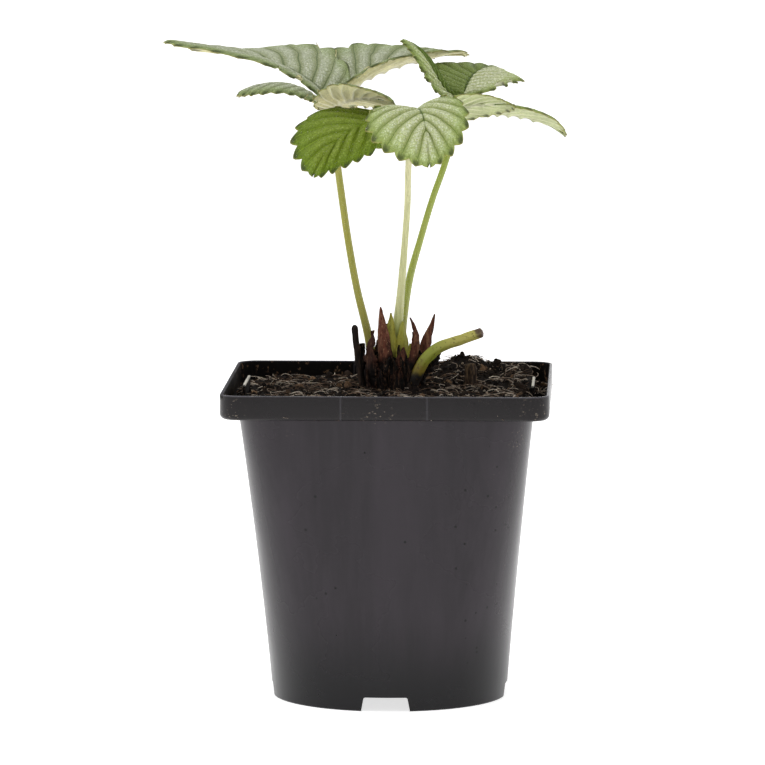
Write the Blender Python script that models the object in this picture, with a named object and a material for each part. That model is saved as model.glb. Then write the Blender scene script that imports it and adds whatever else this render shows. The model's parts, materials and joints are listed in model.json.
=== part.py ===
"""A young strawberry plant in a square-rimmed nursery pot.

Metres, +Z up. The pot's axis is Z, and its foot stands on z = 0.
"""

import math
import random

import bmesh
import bpy
from mathutils import Matrix, Vector

MM = 0.001

# Pot
RIM_WIDTH = 110 * MM
RIM_HEIGHT = 108.5 * MM
RIM_CORNER = 7 * MM
BAND_HEIGHT = 8.3 * MM
BAND_FILLET = 1.8 * MM
WALL = 1.1 * MM
BODY_TOP_WIDTH = 99 * MM
BODY_TOP_CORNER = 16 * MM
BODY_FOOT_WIDTH = 80 * MM
TAPER_BEND = 1.6 * MM
FLOOR_HEIGHT = 6 * MM
FLOOR_THICK = 1.2 * MM
FLAT_LEFT = 0.5 * MM
CENTRE_PAD_RADIUS = 7 * MM
NOTCH_WIDTH = 16.5 * MM
NOTCH_TOP_WIDTH = 15 * MM
NOTCH_HEIGHT = 4.8 * MM
DRAIN_RADIUS = 4 * MM
DRAIN_FROM_AXIS = 24 * MM
POCKET_LENGTH = 29 * MM
POCKET_WALL_HEIGHT = 6.4 * MM
POCKET_SINK = 0.1 * MM
CUT_PAST = 1 * MM
NOTCH_FROM = 30 * MM
NOTCH_TO = 50 * MM
CORNER_STEPS = 7
SIDE_STEPS = 4
FILLET_STEPS = 3
DRAIN_SIDES = 16
BODY_LEVELS = (0.0, 0.15, 0.3, 0.45, 0.6, 0.75, 0.9, 1.0)

# Soil
SOIL_GAP = 0.3 * MM
SOIL_LEVEL = 103.2 * MM
SOIL_RISE = 2.8 * MM
SOIL_SLOPE_TURN = 1.5
SOIL_BACK_SHARE = 0.25
SOIL_LUMP = 0.7 * MM
LUMP_WAVES = (410, 365)
FINE_WAVES = (760, 590)
FINE_SHARE = 0.6
SOIL_RINGS = 10
SOIL_SIDE_LEVELS = (35 * MM, 65 * MM)
COLLAR_HEIGHT = 1.5 * MM
COLLAR_RADIUS = 19.2 * MM
MOUND_HEIGHT = 7 * MM
MOUND_RADIUS = 6.5 * MM
MOUND_PLACE = (24 * MM, 39 * MM)

# Crown
CROWN_CENTRE = (1.4 * MM, 0.0)
CROWN_RADIUS = 9.6 * MM
CROWN_BOTTOM = 92 * MM
CROWN_TOP = 116.5 * MM
CROWN_DOME = 1 * MM
CROWN_STEPS = 8
CROWN_SIDES = 16
# Ridges round the crown: how many, how deep as a share of the radius, and their twist over its height
CROWN_RIDGES = ((5, 0.07, 4), (9, 0.04, -7))
CROWN_WAIST = 0.80
CROWN_SWELL = 0.25
HOLE_GAP = 0.5 * MM
SCALE_THICK = 0.9 * MM
SCALE_TIP = 0.25 * MM
SCALE_ROWS = 6
SCALE_COLUMNS = 4
SCALE_HOLLOW = 0.28
SCALE_FULLEST = 0.36
SCALE_ROUND = 0.8
SEED = 7
CLEAR = 0.35 * MM

# Blades
TEETH = 9
TOOTH_CUT = 0.12
TOOTH_LEAN = 0.10
TOOTH_POINT = 1.45
FIRST_TOOTH = 1.6
EDGE_START = 0.04
EDGE_LEAN = 1.08
EDGE_FULL = 0.54
VEIN_REACH = 0.90
VEIN_CROWD = 1.1
VEIN_ALONG = 0.40
VEIN_OUT = 0.55
RIB_TAPER = 0.7
BLADE_THICK = 0.7 * MM
RIB_THICK = 0.7 * MM
BLADE_COLUMNS = 2
BLADE_ROWS = 4
MIDRIB_STEPS = 60
HUB_RADIUS = 1.7 * MM

# Colours as linear red, green and blue
POT_GREY = (0.045, 0.043, 0.047)
SOIL_BROWN = (0.030, 0.021, 0.016)
SCALE_BROWN = (0.115, 0.045, 0.030)
BUD_GREEN = (0.32, 0.42, 0.10)
STALK_GREEN = (0.36, 0.38, 0.08)
DEAD_BROWN = (0.020, 0.016, 0.015)
LEAF_GREENS = {
    "leaf_left": (0.20, 0.30, 0.15),
    "leaf_middle": (0.16, 0.34, 0.06),
    "leaf_right": (0.13, 0.25, 0.07),
}

# Stalks: points in millimetres from the crown up to the leaf's hub, with the radius at each
PETIOLES = {
    "leaf_left": (
        ((-5.5, 2.5, 102), 1.5),
        ((-7.0, 2.5, 120), 1.45),
        ((-11.3, 2.5, 138.5), 1.25),
        ((-14.4, 3.0, 155.5), 1.2),
        ((-16.9, 4.0, 172.6), 1.2),
        ((-18.8, 5.0, 186), 1.15),
        ((-21.3, 6.0, 199.5), 1.2),
    ),
    "leaf_middle": (
        ((1.0, -1.6, 102), 2.0),
        ((2.3, -2.0, 122), 1.9),
        ((3.6, -2.6, 136), 1.4),
        ((5.0, -4.0, 153), 1.1),
        ((6.1, -5.0, 168), 1.05),
        ((6.5, -7.0, 181), 1.05),
        ((7.5, -9.0, 195), 1.15),
    ),
    "leaf_right": (
        ((3.4, 4.2, 102), 1.7),
        ((3.7, 4.0, 122), 1.6),
        ((6.3, 3.3, 141), 1.25),
        ((10.2, 2.6, 155.7), 1.1),
        ((14.3, 2.4, 169.5), 1.05),
        ((19.0, 3.0, 183), 1.05),
        ((25.1, 4.0, 204.5), 1.15),
    ),
}

# Leaflets: midrib as four control points in millimetres, upward directions at base and tip,
# half width, each half's share of it, and each half's fold at base and tip and its bend, in degrees
LEAFLETS = {
    "leaf_left": (
        {
            "mid": ((-19.8, 6, 200.4), (-26.5, 9, 212.5), (-44, 16, 219.5), (-79, 26, 222)),
            "up": ((0.2, 0.05, 1), (0, 0, 1)),
            "width": 22,
            "left": (0.42, 0, 0, 0),
            "right": (1.22, 62, -10, 0),
        },
        {
            "mid": ((-22.2, 7, 200.6), (-10, 12, 208.5), (2, 34, 216), (24.5, 52, 216)),
            "up": ((-0.2, 0, 1), (0, 0, 1)),
            "width": 22,
            "left": (1.0, 62, 14, 0),
            "right": (0.75, 40, 12, 0),
        },
        {
            "mid": ((-21.8, 5.2, 200.6), (-29, 0, 210.3), (-40, -8, 212), (-51, -16, 206.5)),
            "up": ((0.3, -0.2, 1), (-0.3, -0.2, 1)),
            "width": 12,
            "left": (0.6, -8, -8, -20),
            "right": (1.0, -15, -15, -20),
        },
        {
            "mid": ((-21.2, 5.4, 199.8), (-17, -1, 204.3), (-9, -7, 206.7), (2, -15, 204)),
            "up": ((-0.3, 0.4, 1), (0.2, 0.5, 1)),
            "width": 14,
            "left": (0.6, 0, 0, 0),
            "right": (1.15, 0, 0, 0),
        },
    ),
    "leaf_middle": (
        {
            "mid": ((7, -9, 196), (-3, -17, 199.5), (-17, -30, 198), (-24.5, -35, 180)),
            "up": ((0, -0.3, 1), (-0.4, -1, 0.4)),
            "width": 21.5,
            "left": (0.52, -10, -10, -30),
            "right": (1.0, 0, 0, -20),
        },
        {
            "mid": ((8, -10, 196), (10, -19, 206.5), (13.7, -38, 203), (15, -48, 184.5)),
            "up": ((0, -0.3, 1), (0, -1, 0.3)),
            "width": 18,
            "left": (0.86, 32, 3, -15),
            "right": (1.12, 28, 0, -15),
        },
        {
            "mid": ((8.8, -8.5, 196), (20, -8, 202.5), (33, -9, 204.2), (43, -14, 202.6)),
            "up": ((0, 1.1, 1), (0, 0.8, 1)),
            "width": 7,
            "left": (1.0, 0, 0, 0),
            "right": (1.0, 0, 0, 0),
        },
    ),
    "leaf_right": (
        {
            "mid": ((25.8, 5, 203.6), (28, 7, 195), (42, 9, 203.5), (60, 13, 191)),
            "up": ((0, 0, 1), (0, 0, 1)),
            "width": 18,
            "left": (1.0, 10, 5, 0),
            "right": (1.0, 14, 12, 0),
        },
        {
            "mid": ((25.1, 4, 205.4), (26.2, 14, 210.2), (28, 26, 214.3), (38, 40, 211.4)),
            "up": ((0, -0.6, 1), (0.1, -0.2, 1)),
            "width": 17,
            "left": (1.15, 5, -5, 0),
            "right": (1.0, 5, 0, 0),
        },
        {
            "mid": ((24.9, 4, 205.1), (16.5, 5, 202), (16, 9, 217), (3.4, 16, 223.6)),
            "up": ((0.5, 0, 1), (0.5, 0, 1)),
            "width": 16,
            "left": (0.28, -70, 0, 0),
            "right": (0.14, 60, 55, 0),
        },
    ),
}

# The dry scales that show: foot, tip and how far the middle bows, in millimetres, with the width
# and the turn of its face about the upright, in degrees
NAMED_SCALES = (
    ((-0.9, -8.5, 108), (-3.0, -5.5, 133.5), (0, -1.5, 0), 5.2, 0),
    ((-5.5, -7.0, 106), (-5.6, -6.0, 125.5), (-1.5, -1, 0), 6.0, 0),
    ((5.2, -8.5, 108), (8.6, -6.0, 130), (2.0, -1, 0), 3.5, 0),
    ((10.2, -1.8, 110), (15.9, 0.0, 130.6), (-0.6, 0, 0), 4.6, -50),
    ((3.0, -9.0, 105), (5.0, -7.8, 120), (0, -1, 0), 6.0, 0),
    ((8.5, -3.5, 108), (17.4, -3.5, 117.5), (1, 0, 0), 5.5, -40),
)
# The scales round the back: an arc in degrees, and feet and tips about the crown's middle, in millimetres
BACK_SCALES = 9
BACK_ARC = (-10, 190)
BACK_FOOT_RADIUS = 8.4
BACK_FOOT_LEVEL = (104, 108)
BACK_TIP_RADIUS = (6.5, 10)
BACK_TIP_LEVEL = (118, 128)
BACK_WIDTH = (4.5, 6.5)
BACK_BOW = 1.2
BUD = ((1.8, -6.0, 111), (0.6, -5.2, 131.4), (-0.6, -0.8, 0), 4.6, 0)
CUT_STALK = (
    ((6.0, -5.5, 101), 1.5),
    ((9.1, -7.0, 110), 2.1),
    ((12.2, -8.0, 115.8), 2.0),
    ((17.3, -9.0, 120.3), 1.9),
    ((24.8, -9.5, 123), 1.75),
    ((32.0, -10.0, 125.6), 1.7),
)
DEAD_STALK = (
    ((-5.5, -3.5, 97), 1.1),
    ((-8.9, -4.0, 105), 1.15),
    ((-11.1, -4.0, 118.5), 1.1),
    ((-11.9, -4.0, 127.2), 1.05),
)
OLD_STUB = (
    ((26.5, 5, 96), 1.9),
    ((26.9, 5, 104), 2.1),
    ((27.3, 5, 110), 2.1),
    ((27.0, 5, 113.2), 1.8),
)


def clear_scene():
    for obj in list(bpy.data.objects):
        bpy.data.objects.remove(obj, do_unlink=True)


def material(name, colour, roughness):
    made = bpy.data.materials.new(name)
    made.use_nodes = True
    shader = made.node_tree.nodes["Principled BSDF"]
    shader.inputs["Base Color"].default_value = (*colour, 1.0)
    shader.inputs["Roughness"].default_value = roughness
    shader.inputs["Metallic"].default_value = 0.0
    return made


def mesh_object(name, points, faces, look=None):
    mesh = bpy.data.meshes.new(name)
    mesh.from_pydata([tuple(p) for p in points], [], faces)
    shaped = bmesh.new()
    shaped.from_mesh(mesh)
    bmesh.ops.recalc_face_normals(shaped, faces=shaped.faces)
    shaped.to_mesh(mesh)
    shaped.free()
    obj = bpy.data.objects.new(name, mesh)
    bpy.context.scene.collection.objects.link(obj)
    if look:
        mesh.materials.append(look)
    return obj


def apply_modifiers(obj):
    graph = bpy.context.evaluated_depsgraph_get()
    made = bpy.data.meshes.new_from_object(obj.evaluated_get(graph))
    obj.modifiers.clear()
    obj.data = made


def cut(obj, cutters):
    """Takes the cutters out of obj, and removes them."""
    group = bpy.data.collections.new(obj.name + "_cutters")
    bpy.context.scene.collection.children.link(group)
    for cutter in cutters:
        cutter.hide_render = True
        cutter.display_type = "WIRE"
        bpy.context.scene.collection.objects.unlink(cutter)
        group.objects.link(cutter)
    use_boolean(obj, group, "DIFFERENCE")


def join(obj, others):
    """Fuses the others into obj, and removes them."""
    group = bpy.data.collections.new(obj.name + "_pieces")
    bpy.context.scene.collection.children.link(group)
    for other in others:
        bpy.context.scene.collection.objects.unlink(other)
        group.objects.link(other)
    use_boolean(obj, group, "UNION")


def use_boolean(obj, group, operation):
    boolean = obj.modifiers.new(operation.lower(), "BOOLEAN")
    boolean.operation = operation
    boolean.operand_type = "COLLECTION"
    boolean.collection = group
    boolean.solver = "MANIFOLD"  # the exact one leaves slivers where many scales cross
    apply_modifiers(obj)
    for used in list(group.objects):
        bpy.data.objects.remove(used, do_unlink=True)
    bpy.data.collections.remove(group)
    keep_body(obj)


def keep_body(obj):
    """Keeps the one body with the most volume: drops loose scrap, and fills any sealed hollow."""
    shaped = bmesh.new()
    shaped.from_mesh(obj.data)
    left, bodies = set(shaped.faces), []
    while left:
        body, reached = set(), [left.pop()]
        while reached:
            face = reached.pop()
            body.add(face)
            for edge in face.edges:
                for near in edge.link_faces:
                    if near in left:
                        left.discard(near)
                        reached.append(near)
        bodies.append(body)
    if len(bodies) > 1:
        best = max(bodies, key=volume)
        print(obj.name, "keeps one body of", len(bodies))
        loose = [face for body in bodies if body is not best for face in body]
        bmesh.ops.delete(shaped, geom=loose, context="FACES")
    shaped.to_mesh(obj.data)
    shaped.free()


def volume(body):
    total = 0.0
    for face in body:
        corners = [v.co for v in face.verts]
        for i in range(1, len(corners) - 1):
            total += corners[0].dot(corners[i].cross(corners[i + 1])) / 6
    return total


def rounded_square(half, corner, z):
    """Points round a square of the given half width, corners rounded, with the same count for every size."""
    corner = min(corner, half - FLAT_LEFT)
    points = []
    for quarter in range(4):
        turn = Matrix.Rotation(quarter * math.pi / 2, 3, "Z")
        centre = Vector((half - corner, half - corner, 0))
        for step in range(CORNER_STEPS + 1):
            angle = step * math.pi / 2 / CORNER_STEPS
            arc = Vector((math.cos(angle), math.sin(angle), 0)) * corner
            points.append(turn @ (centre + arc) + Vector((0, 0, z)))
        start = half - corner
        for step in range(1, SIDE_STEPS):
            along = start - 2 * start * step / SIDE_STEPS
            points.append(turn @ Vector((along, half, 0)) + Vector((0, 0, z)))
    return points


def loft(rings, low_centre, high_centre):
    """Closed surface through the rings, with a fan to a point at each end."""
    count = len(rings[0])
    points = [p for ring in rings for p in ring]
    faces = []
    for r in range(len(rings) - 1):
        for i in range(count):
            j = (i + 1) % count
            a, b = r * count + i, r * count + j
            c, d = (r + 1) * count + j, (r + 1) * count + i
            faces.append((a, b, c, d))
    points.append(low_centre)
    points.append(high_centre)
    low, high = len(points) - 2, len(points) - 1
    last = (len(rings) - 1) * count
    for i in range(count):
        j = (i + 1) % count
        faces.append((low, j, i))
        faces.append((high, last + i, last + j))
    return points, faces


def body_half(z):
    """Half width of the body's outside at height z: a taper that flares a little under the rim."""
    share = max(0.0, min(1.0, z / (RIM_HEIGHT - BAND_HEIGHT)))
    straight = BODY_FOOT_WIDTH + (BODY_TOP_WIDTH - BODY_FOOT_WIDTH) * share
    return straight / 2 - TAPER_BEND * share * (1 - share)


def body_corner(z):
    """Corner radius of the body at height z: round at the foot, a rounded square under the rim."""
    share = max(0.0, min(1.0, z / (RIM_HEIGHT - BAND_HEIGHT)))
    return body_half(z) * (1 - share) + BODY_TOP_CORNER * share


def body_ring(z, inset=0.0):
    return rounded_square(body_half(z) - inset, body_corner(z) - inset, z)


def pot():
    ledge = RIM_HEIGHT - BAND_HEIGHT
    rim = RIM_WIDTH / 2
    heights = [ledge * share for share in BODY_LEVELS]
    rings = [rounded_square(CENTRE_PAD_RADIUS, CENTRE_PAD_RADIUS, 0)]
    rings.append(rounded_square(CENTRE_PAD_RADIUS, CENTRE_PAD_RADIUS, FLOOR_HEIGHT - FLOOR_THICK))
    rings.append(body_ring(FLOOR_HEIGHT - FLOOR_THICK, WALL))
    rings.append(body_ring(0, WALL))
    rings += [body_ring(z) for z in heights]
    for step in range(FILLET_STEPS + 1):
        angle = step * math.pi / 2 / FILLET_STEPS
        out = rim - BAND_FILLET * (1 - math.sin(angle))
        up = ledge + BAND_FILLET * (1 - math.cos(angle))
        rings.append(rounded_square(out, RIM_CORNER - rim + out, up))
    rings.append(rounded_square(rim, RIM_CORNER, RIM_HEIGHT))
    rings.append(rounded_square(rim - WALL, RIM_CORNER - WALL, RIM_HEIGHT))
    rings.append(rounded_square(rim - WALL, RIM_CORNER - WALL, ledge + WALL))
    rings.append(rounded_square(body_half(ledge) - WALL, BODY_TOP_CORNER - WALL, ledge + WALL))
    rings += [body_ring(z, WALL) for z in reversed(heights[1:-1])]
    rings.append(body_ring(FLOOR_HEIGHT, WALL))
    points, faces = loft(rings, Vector((0, 0, 0)), Vector((0, 0, FLOOR_HEIGHT)))
    made = mesh_object("pot", points, faces, material("pot", POT_GREY, 0.5))
    join(made, [pocket_wall(side) for side in range(4)])
    cut(made, [foot_notch(side) for side in range(4)] + [drain_hole(side) for side in range(4)])
    return made


def pocket_wall(side):
    """The low wall inside the rim band that makes a label pocket in the middle of one side."""
    ledge = RIM_HEIGHT - BAND_HEIGHT
    outer = body_half(ledge)
    inner = outer - WALL
    low, high = ledge + WALL / 2, ledge + WALL + POCKET_WALL_HEIGHT
    half = POCKET_LENGTH / 2
    made = box("pocket", (-half, inner + POCKET_SINK, low), (half, outer - POCKET_SINK, high))
    made.data.transform(Matrix.Rotation(side * math.pi / 2, 4, "Z"))
    return made


def box(name, low, high):
    corners = [(x, y, z) for z in (low[2], high[2]) for y in (low[1], high[1]) for x in (low[0], high[0])]
    faces = [(0, 1, 3, 2), (4, 5, 7, 6), (0, 1, 5, 4), (2, 3, 7, 6), (0, 2, 6, 4), (1, 3, 7, 5)]
    return mesh_object(name, corners, faces)


def foot_notch(side):
    half, top, high = NOTCH_WIDTH / 2, NOTCH_TOP_WIDTH / 2, NOTCH_HEIGHT
    outline = [(-half, -CUT_PAST), (half, -CUT_PAST), (half, 0), (top, high), (-top, high), (-half, 0)]
    points = [(x, y, z) for y in (NOTCH_FROM, NOTCH_TO) for x, z in outline]
    count = len(outline)
    faces = [tuple(range(count)), tuple(range(count, 2 * count))]
    faces += [(i, (i + 1) % count, count + (i + 1) % count, count + i) for i in range(count)]
    made = mesh_object("notch", points, faces)
    made.data.transform(Matrix.Rotation(side * math.pi / 2, 4, "Z"))
    return made


def drain_hole(side):
    angle = math.pi / 4 + side * math.pi / 2
    centre = Vector((math.cos(angle), math.sin(angle), 0)) * DRAIN_FROM_AXIS
    ring = [Vector((math.cos(a), math.sin(a), 0)) * DRAIN_RADIUS for a in circle(DRAIN_SIDES)]
    levels = (FLOOR_HEIGHT - FLOOR_THICK - CUT_PAST, FLOOR_HEIGHT + CUT_PAST)
    ends = [centre + Vector((0, 0, z)) for z in levels]
    rings = [[end + p for p in ring] for end in ends]
    return mesh_object("drain", *loft(rings, *ends))


def circle(sides):
    return [2 * math.pi * i / sides for i in range(sides)]


def soil_height(x, y):
    """Height of the soil: lumpy, higher to the right and back, with a collar at the crown and one mound."""
    half = BODY_TOP_WIDTH / 2
    slope = 0.5 + 0.5 * math.sin(SOIL_SLOPE_TURN * x / half)
    rise = SOIL_RISE * slope * (1 - SOIL_BACK_SHARE * (1 - y / half))
    lumps = math.sin(LUMP_WAVES[0] * x + 1.3) * math.cos(LUMP_WAVES[1] * y + 0.4)
    lumps += FINE_SHARE * math.sin(FINE_WAVES[0] * x + FINE_WAVES[1] * y)
    away = math.hypot(x - MOUND_PLACE[0], y - MOUND_PLACE[1]) / MOUND_RADIUS
    near_crown = math.hypot(x - CROWN_CENTRE[0], y - CROWN_CENTRE[1]) / COLLAR_RADIUS
    mounds = MOUND_HEIGHT * math.exp(-away * away) + COLLAR_HEIGHT * math.exp(-near_crown * near_crown)
    return SOIL_LEVEL + rise + SOIL_LUMP * lumps + mounds


def soil(holes):
    inset = WALL + SOIL_GAP
    side_heights = (FLOOR_HEIGHT + SOIL_GAP, *SOIL_SIDE_LEVELS, RIM_HEIGHT - BAND_HEIGHT)
    rings = [body_ring(z, inset) for z in side_heights]
    edge = body_ring(side_heights[-1], inset)
    for step in range(SOIL_RINGS):
        share = 1 - step / SOIL_RINGS
        ring = []
        for p in edge:
            x, y = p.x * share, p.y * share
            ring.append(Vector((x, y, soil_height(x, y))))
        rings.append(ring)
    low = Vector((0, 0, FLOOR_HEIGHT + SOIL_GAP))
    high = Vector((0, 0, soil_height(0, 0)))
    points, faces = loft(rings, low, high)
    made = mesh_object("soil", points, faces, material("soil", SOIL_BROWN, 0.95))
    cut(made, holes)
    return made


def smooth_path(knots, per_span):
    """Points and radii along a smooth curve through the knots, given in millimetres."""
    places = [Vector(p) * MM for p, _ in knots]
    radii = [r * MM for _, r in knots]
    path = []
    for i in range(len(places) - 1):
        before = places[i - 1] if i else places[0] * 2 - places[1]
        after = places[i + 2] if i + 2 < len(places) else places[i + 1] * 2 - places[i]
        for step in range(per_span + (i == len(places) - 2)):
            t = step / per_span
            point = catmull_rom(before, places[i], places[i + 1], after, t)
            path.append((point, radii[i] + (radii[i + 1] - radii[i]) * t))
    return path


def catmull_rom(a, b, c, d, t):
    return 0.5 * (
        2 * b + (c - a) * t + (2 * a - 5 * b + 4 * c - d) * t * t + (3 * b - a - 3 * c + d) * t ** 3
    )


def tube(name, knots, sides=8, per_span=2, grow=0.0, longer=0.0, look=None):
    """A round stalk through the knots. grow widens it, and longer carries it past both ends."""
    path = smooth_path(knots, per_span)
    start = (path[0][0] - path[1][0]).normalized()
    finish = (path[-1][0] - path[-2][0]).normalized()
    path[0] = (path[0][0] + start * longer, path[0][1])
    path[-1] = (path[-1][0] + finish * longer, path[-1][1])
    rings = []
    for i, (point, radius) in enumerate(path):
        along = path[min(i + 1, len(path) - 1)][0] - path[max(i - 1, 0)][0]
        along.normalize()
        across = Vector((0, 1, 0)).cross(along).normalized()
        other = along.cross(across)
        r = radius + grow
        rings.append([point + across * r * math.cos(a) + other * r * math.sin(a) for a in circle(sides)])
    points, faces = loft(rings, path[0][0], path[-1][0])
    return mesh_object(name, points, faces, look)


def thicken(points, faces, above, below):
    """Closes a sheet of triangles into a solid, by each point's distance to the face above and below."""
    normals = [Vector() for _ in points]
    for a, b, c in faces:
        turn = (points[b] - points[a]).cross(points[c] - points[a])
        for corner in (a, b, c):
            normals[corner] += turn
    for normal in normals:
        normal.normalize()
    count = len(points)
    top = [p + n * h for p, n, h in zip(points, normals, above)]
    bottom = [p - n * h for p, n, h in zip(points, normals, below)]
    edges = {(f[i], f[(i + 1) % 3]) for f in faces for i in range(3)}
    closed = [tuple(f) for f in faces]
    closed += [(c + count, b + count, a + count) for a, b, c in faces]
    for a, b in sorted(edges):
        if (b, a) not in edges:
            closed.append((b, a, a + count))
            closed.append((b, a + count, b + count))
    return top + bottom, closed


def lancet(name, foot, tip, bend, width, turn, look=None, grow=0.0):
    """A pointed scale: a curved sheet, broad below and sharp above, hollow towards the crown's middle."""
    foot, tip, bend = Vector(foot) * MM, Vector(tip) * MM, Vector(bend) * MM
    along = (tip - foot).normalized()
    foot, tip = foot - along * grow, tip + along * 3 * grow
    middle = Vector((CROWN_CENTRE[0], CROWN_CENTRE[1], foot.z))
    out = Matrix.Rotation(math.radians(turn), 3, "Z") @ (foot - middle).normalized()
    side = out.cross(Vector((0, 0, 1))).normalized()
    points = []
    for row in range(SCALE_ROWS + 1):
        t = row / SCALE_ROWS
        centre = foot.lerp(tip, t) + bend * math.sin(math.pi * t)
        taper = math.sin(math.pi * (SCALE_FULLEST + (1 - SCALE_FULLEST) * t)) ** SCALE_ROUND
        half = max(width * MM / 2 * taper, SCALE_TIP) + grow
        for column in range(SCALE_COLUMNS + 1):
            across = 2 * column / SCALE_COLUMNS - 1
            back = -out * SCALE_HOLLOW * 2 * half * across * across
            points.append(centre + side * half * across + back)
    faces, stride = [], SCALE_COLUMNS + 1
    for row in range(SCALE_ROWS):
        for column in range(SCALE_COLUMNS):
            a = row * stride + column
            faces += [(a, a + 1, a + stride + 1), (a, a + stride + 1, a + stride)]
    half_thick = [SCALE_THICK / 2 + grow] * len(points)
    return mesh_object(name, *thicken(points, faces, half_thick, half_thick), look)


def crown_radius(angle, share):
    """Radius of the ridged stump at an angle round it and a share of its height."""
    ridge = 1 + sum(depth * math.sin(count * angle + twist * share) for count, depth, twist in CROWN_RIDGES)
    return CROWN_RADIUS * ridge * (CROWN_WAIST + CROWN_SWELL * math.sin(math.pi * (0.15 + 0.75 * share)))


def crown_core(name, grow=0.0, look=None):
    """The ribbed stump that the stalks grow from. grow widens and deepens it, for the hole it stands in."""
    rings = []
    for step in range(CROWN_STEPS + 1):
        share = step / CROWN_STEPS
        z = CROWN_BOTTOM - grow + (CROWN_TOP - CROWN_BOTTOM + 2 * grow) * share
        ring = []
        for angle in circle(CROWN_SIDES):
            r = crown_radius(angle, share) + grow
            x, y = CROWN_CENTRE[0] + r * math.cos(angle), CROWN_CENTRE[1] + r * math.sin(angle)
            ring.append(Vector((x, y, z)))
        rings.append(ring)
    ends = [Vector((*CROWN_CENTRE, z)) for z in (CROWN_BOTTOM - grow, CROWN_TOP + grow + CROWN_DOME)]
    return mesh_object(name, *loft(rings, *ends), look)


def crown(petiole_cutters):
    made = crown_core("crown", look=material("crown", SCALE_BROWN, 0.8))
    scales = [lancet("scale", *numbers) for numbers in NAMED_SCALES]
    draw = random.Random(SEED)
    for i in range(BACK_SCALES):
        angle = math.radians(BACK_ARC[0] + (BACK_ARC[1] - BACK_ARC[0]) * i / (BACK_SCALES - 1))
        out = Vector((math.cos(angle), math.sin(angle), 0))
        base = Vector((*CROWN_CENTRE, 0)) / MM
        foot = base + out * BACK_FOOT_RADIUS + Vector((0, 0, draw.uniform(*BACK_FOOT_LEVEL)))
        tip = base + out * draw.uniform(*BACK_TIP_RADIUS) + Vector((0, 0, draw.uniform(*BACK_TIP_LEVEL)))
        scales.append(lancet("scale", foot, tip, out * BACK_BOW, draw.uniform(*BACK_WIDTH), 0))
    join(made, scales)
    cut(made, petiole_cutters)
    return made


def blade_edge(u):
    """Place along the midrib and share of the half width, at u round one side of a blade, base to tip."""
    x = 0.5 - 0.5 * math.cos(math.pi * (EDGE_START + (1 - EDGE_START) * u))
    return x, math.sin(math.pi * x ** EDGE_LEAN) ** EDGE_FULL


def blade_point(column, row, narrow):
    """A point of the flat blade as (along, out). column counts teeth, and row runs from midrib to edge."""
    last = TEETH + 1
    share = column / last
    start = VEIN_REACH * share ** VEIN_CROWD
    if column >= last:
        along, out = 1.0, 0.0
    else:
        bump = 1 - (2 * abs(column - round(column))) ** TOOTH_POINT
        u = min(max(share + TOOTH_LEAN / last * (bump - 0.5), 0.0), 1.0)
        along, out = blade_edge(u)
        ahead, behind = blade_edge(min(u + 0.01, 1.0)), blade_edge(max(u - 0.01, 0.0))
        run = Vector(((ahead[0] - behind[0]) * narrow, ahead[1] - behind[1])).normalized()
        depth = TOOTH_CUT * min(1.0, max(0.0, column - FIRST_TOOTH)) * (1 - bump)
        along += depth * run.y / narrow
        out = max(0.0, out - depth * run.x)
    bend = start + VEIN_ALONG * (along - start)
    left = 1 - row
    return (
        left * left * start + 2 * left * row * bend + row * row * along,
        2 * left * row * VEIN_OUT * out + row * row * out,
    )


def bezier(points, t):
    a, b, c, d = points
    s = 1 - t
    return a * s ** 3 + b * 3 * s * s * t + c * 3 * s * t * t + d * t ** 3


class Midrib:
    """The curve a leaflet hangs on, with its directions at each place along it."""

    def __init__(self, leaflet):
        self.points = [Vector(p) * MM for p in leaflet["mid"]]
        self.ups = [Vector(p).normalized() for p in leaflet["up"]]
        self.lengths = [0.0]
        last = self.points[0]
        for step in range(1, MIDRIB_STEPS + 1):
            point = bezier(self.points, step / MIDRIB_STEPS)
            self.lengths.append(self.lengths[-1] + (point - last).length)
            last = point

    def frame(self, share):
        wanted = min(max(share, 0.0), 1.0) * self.lengths[-1]
        step = 0
        while step < MIDRIB_STEPS - 1 and self.lengths[step + 1] < wanted:
            step += 1
        span = self.lengths[step + 1] - self.lengths[step]
        t = (step + (wanted - self.lengths[step]) / span) / MIDRIB_STEPS
        ahead = bezier(self.points, min(t + 0.01, 1.0)) - bezier(self.points, max(t - 0.01, 0.0))
        ahead.normalize()
        up = self.ups[0].lerp(self.ups[1], t)
        up = (up - ahead * up.dot(ahead)).normalized()
        return bezier(self.points, t), up, ahead.cross(up)


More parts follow.
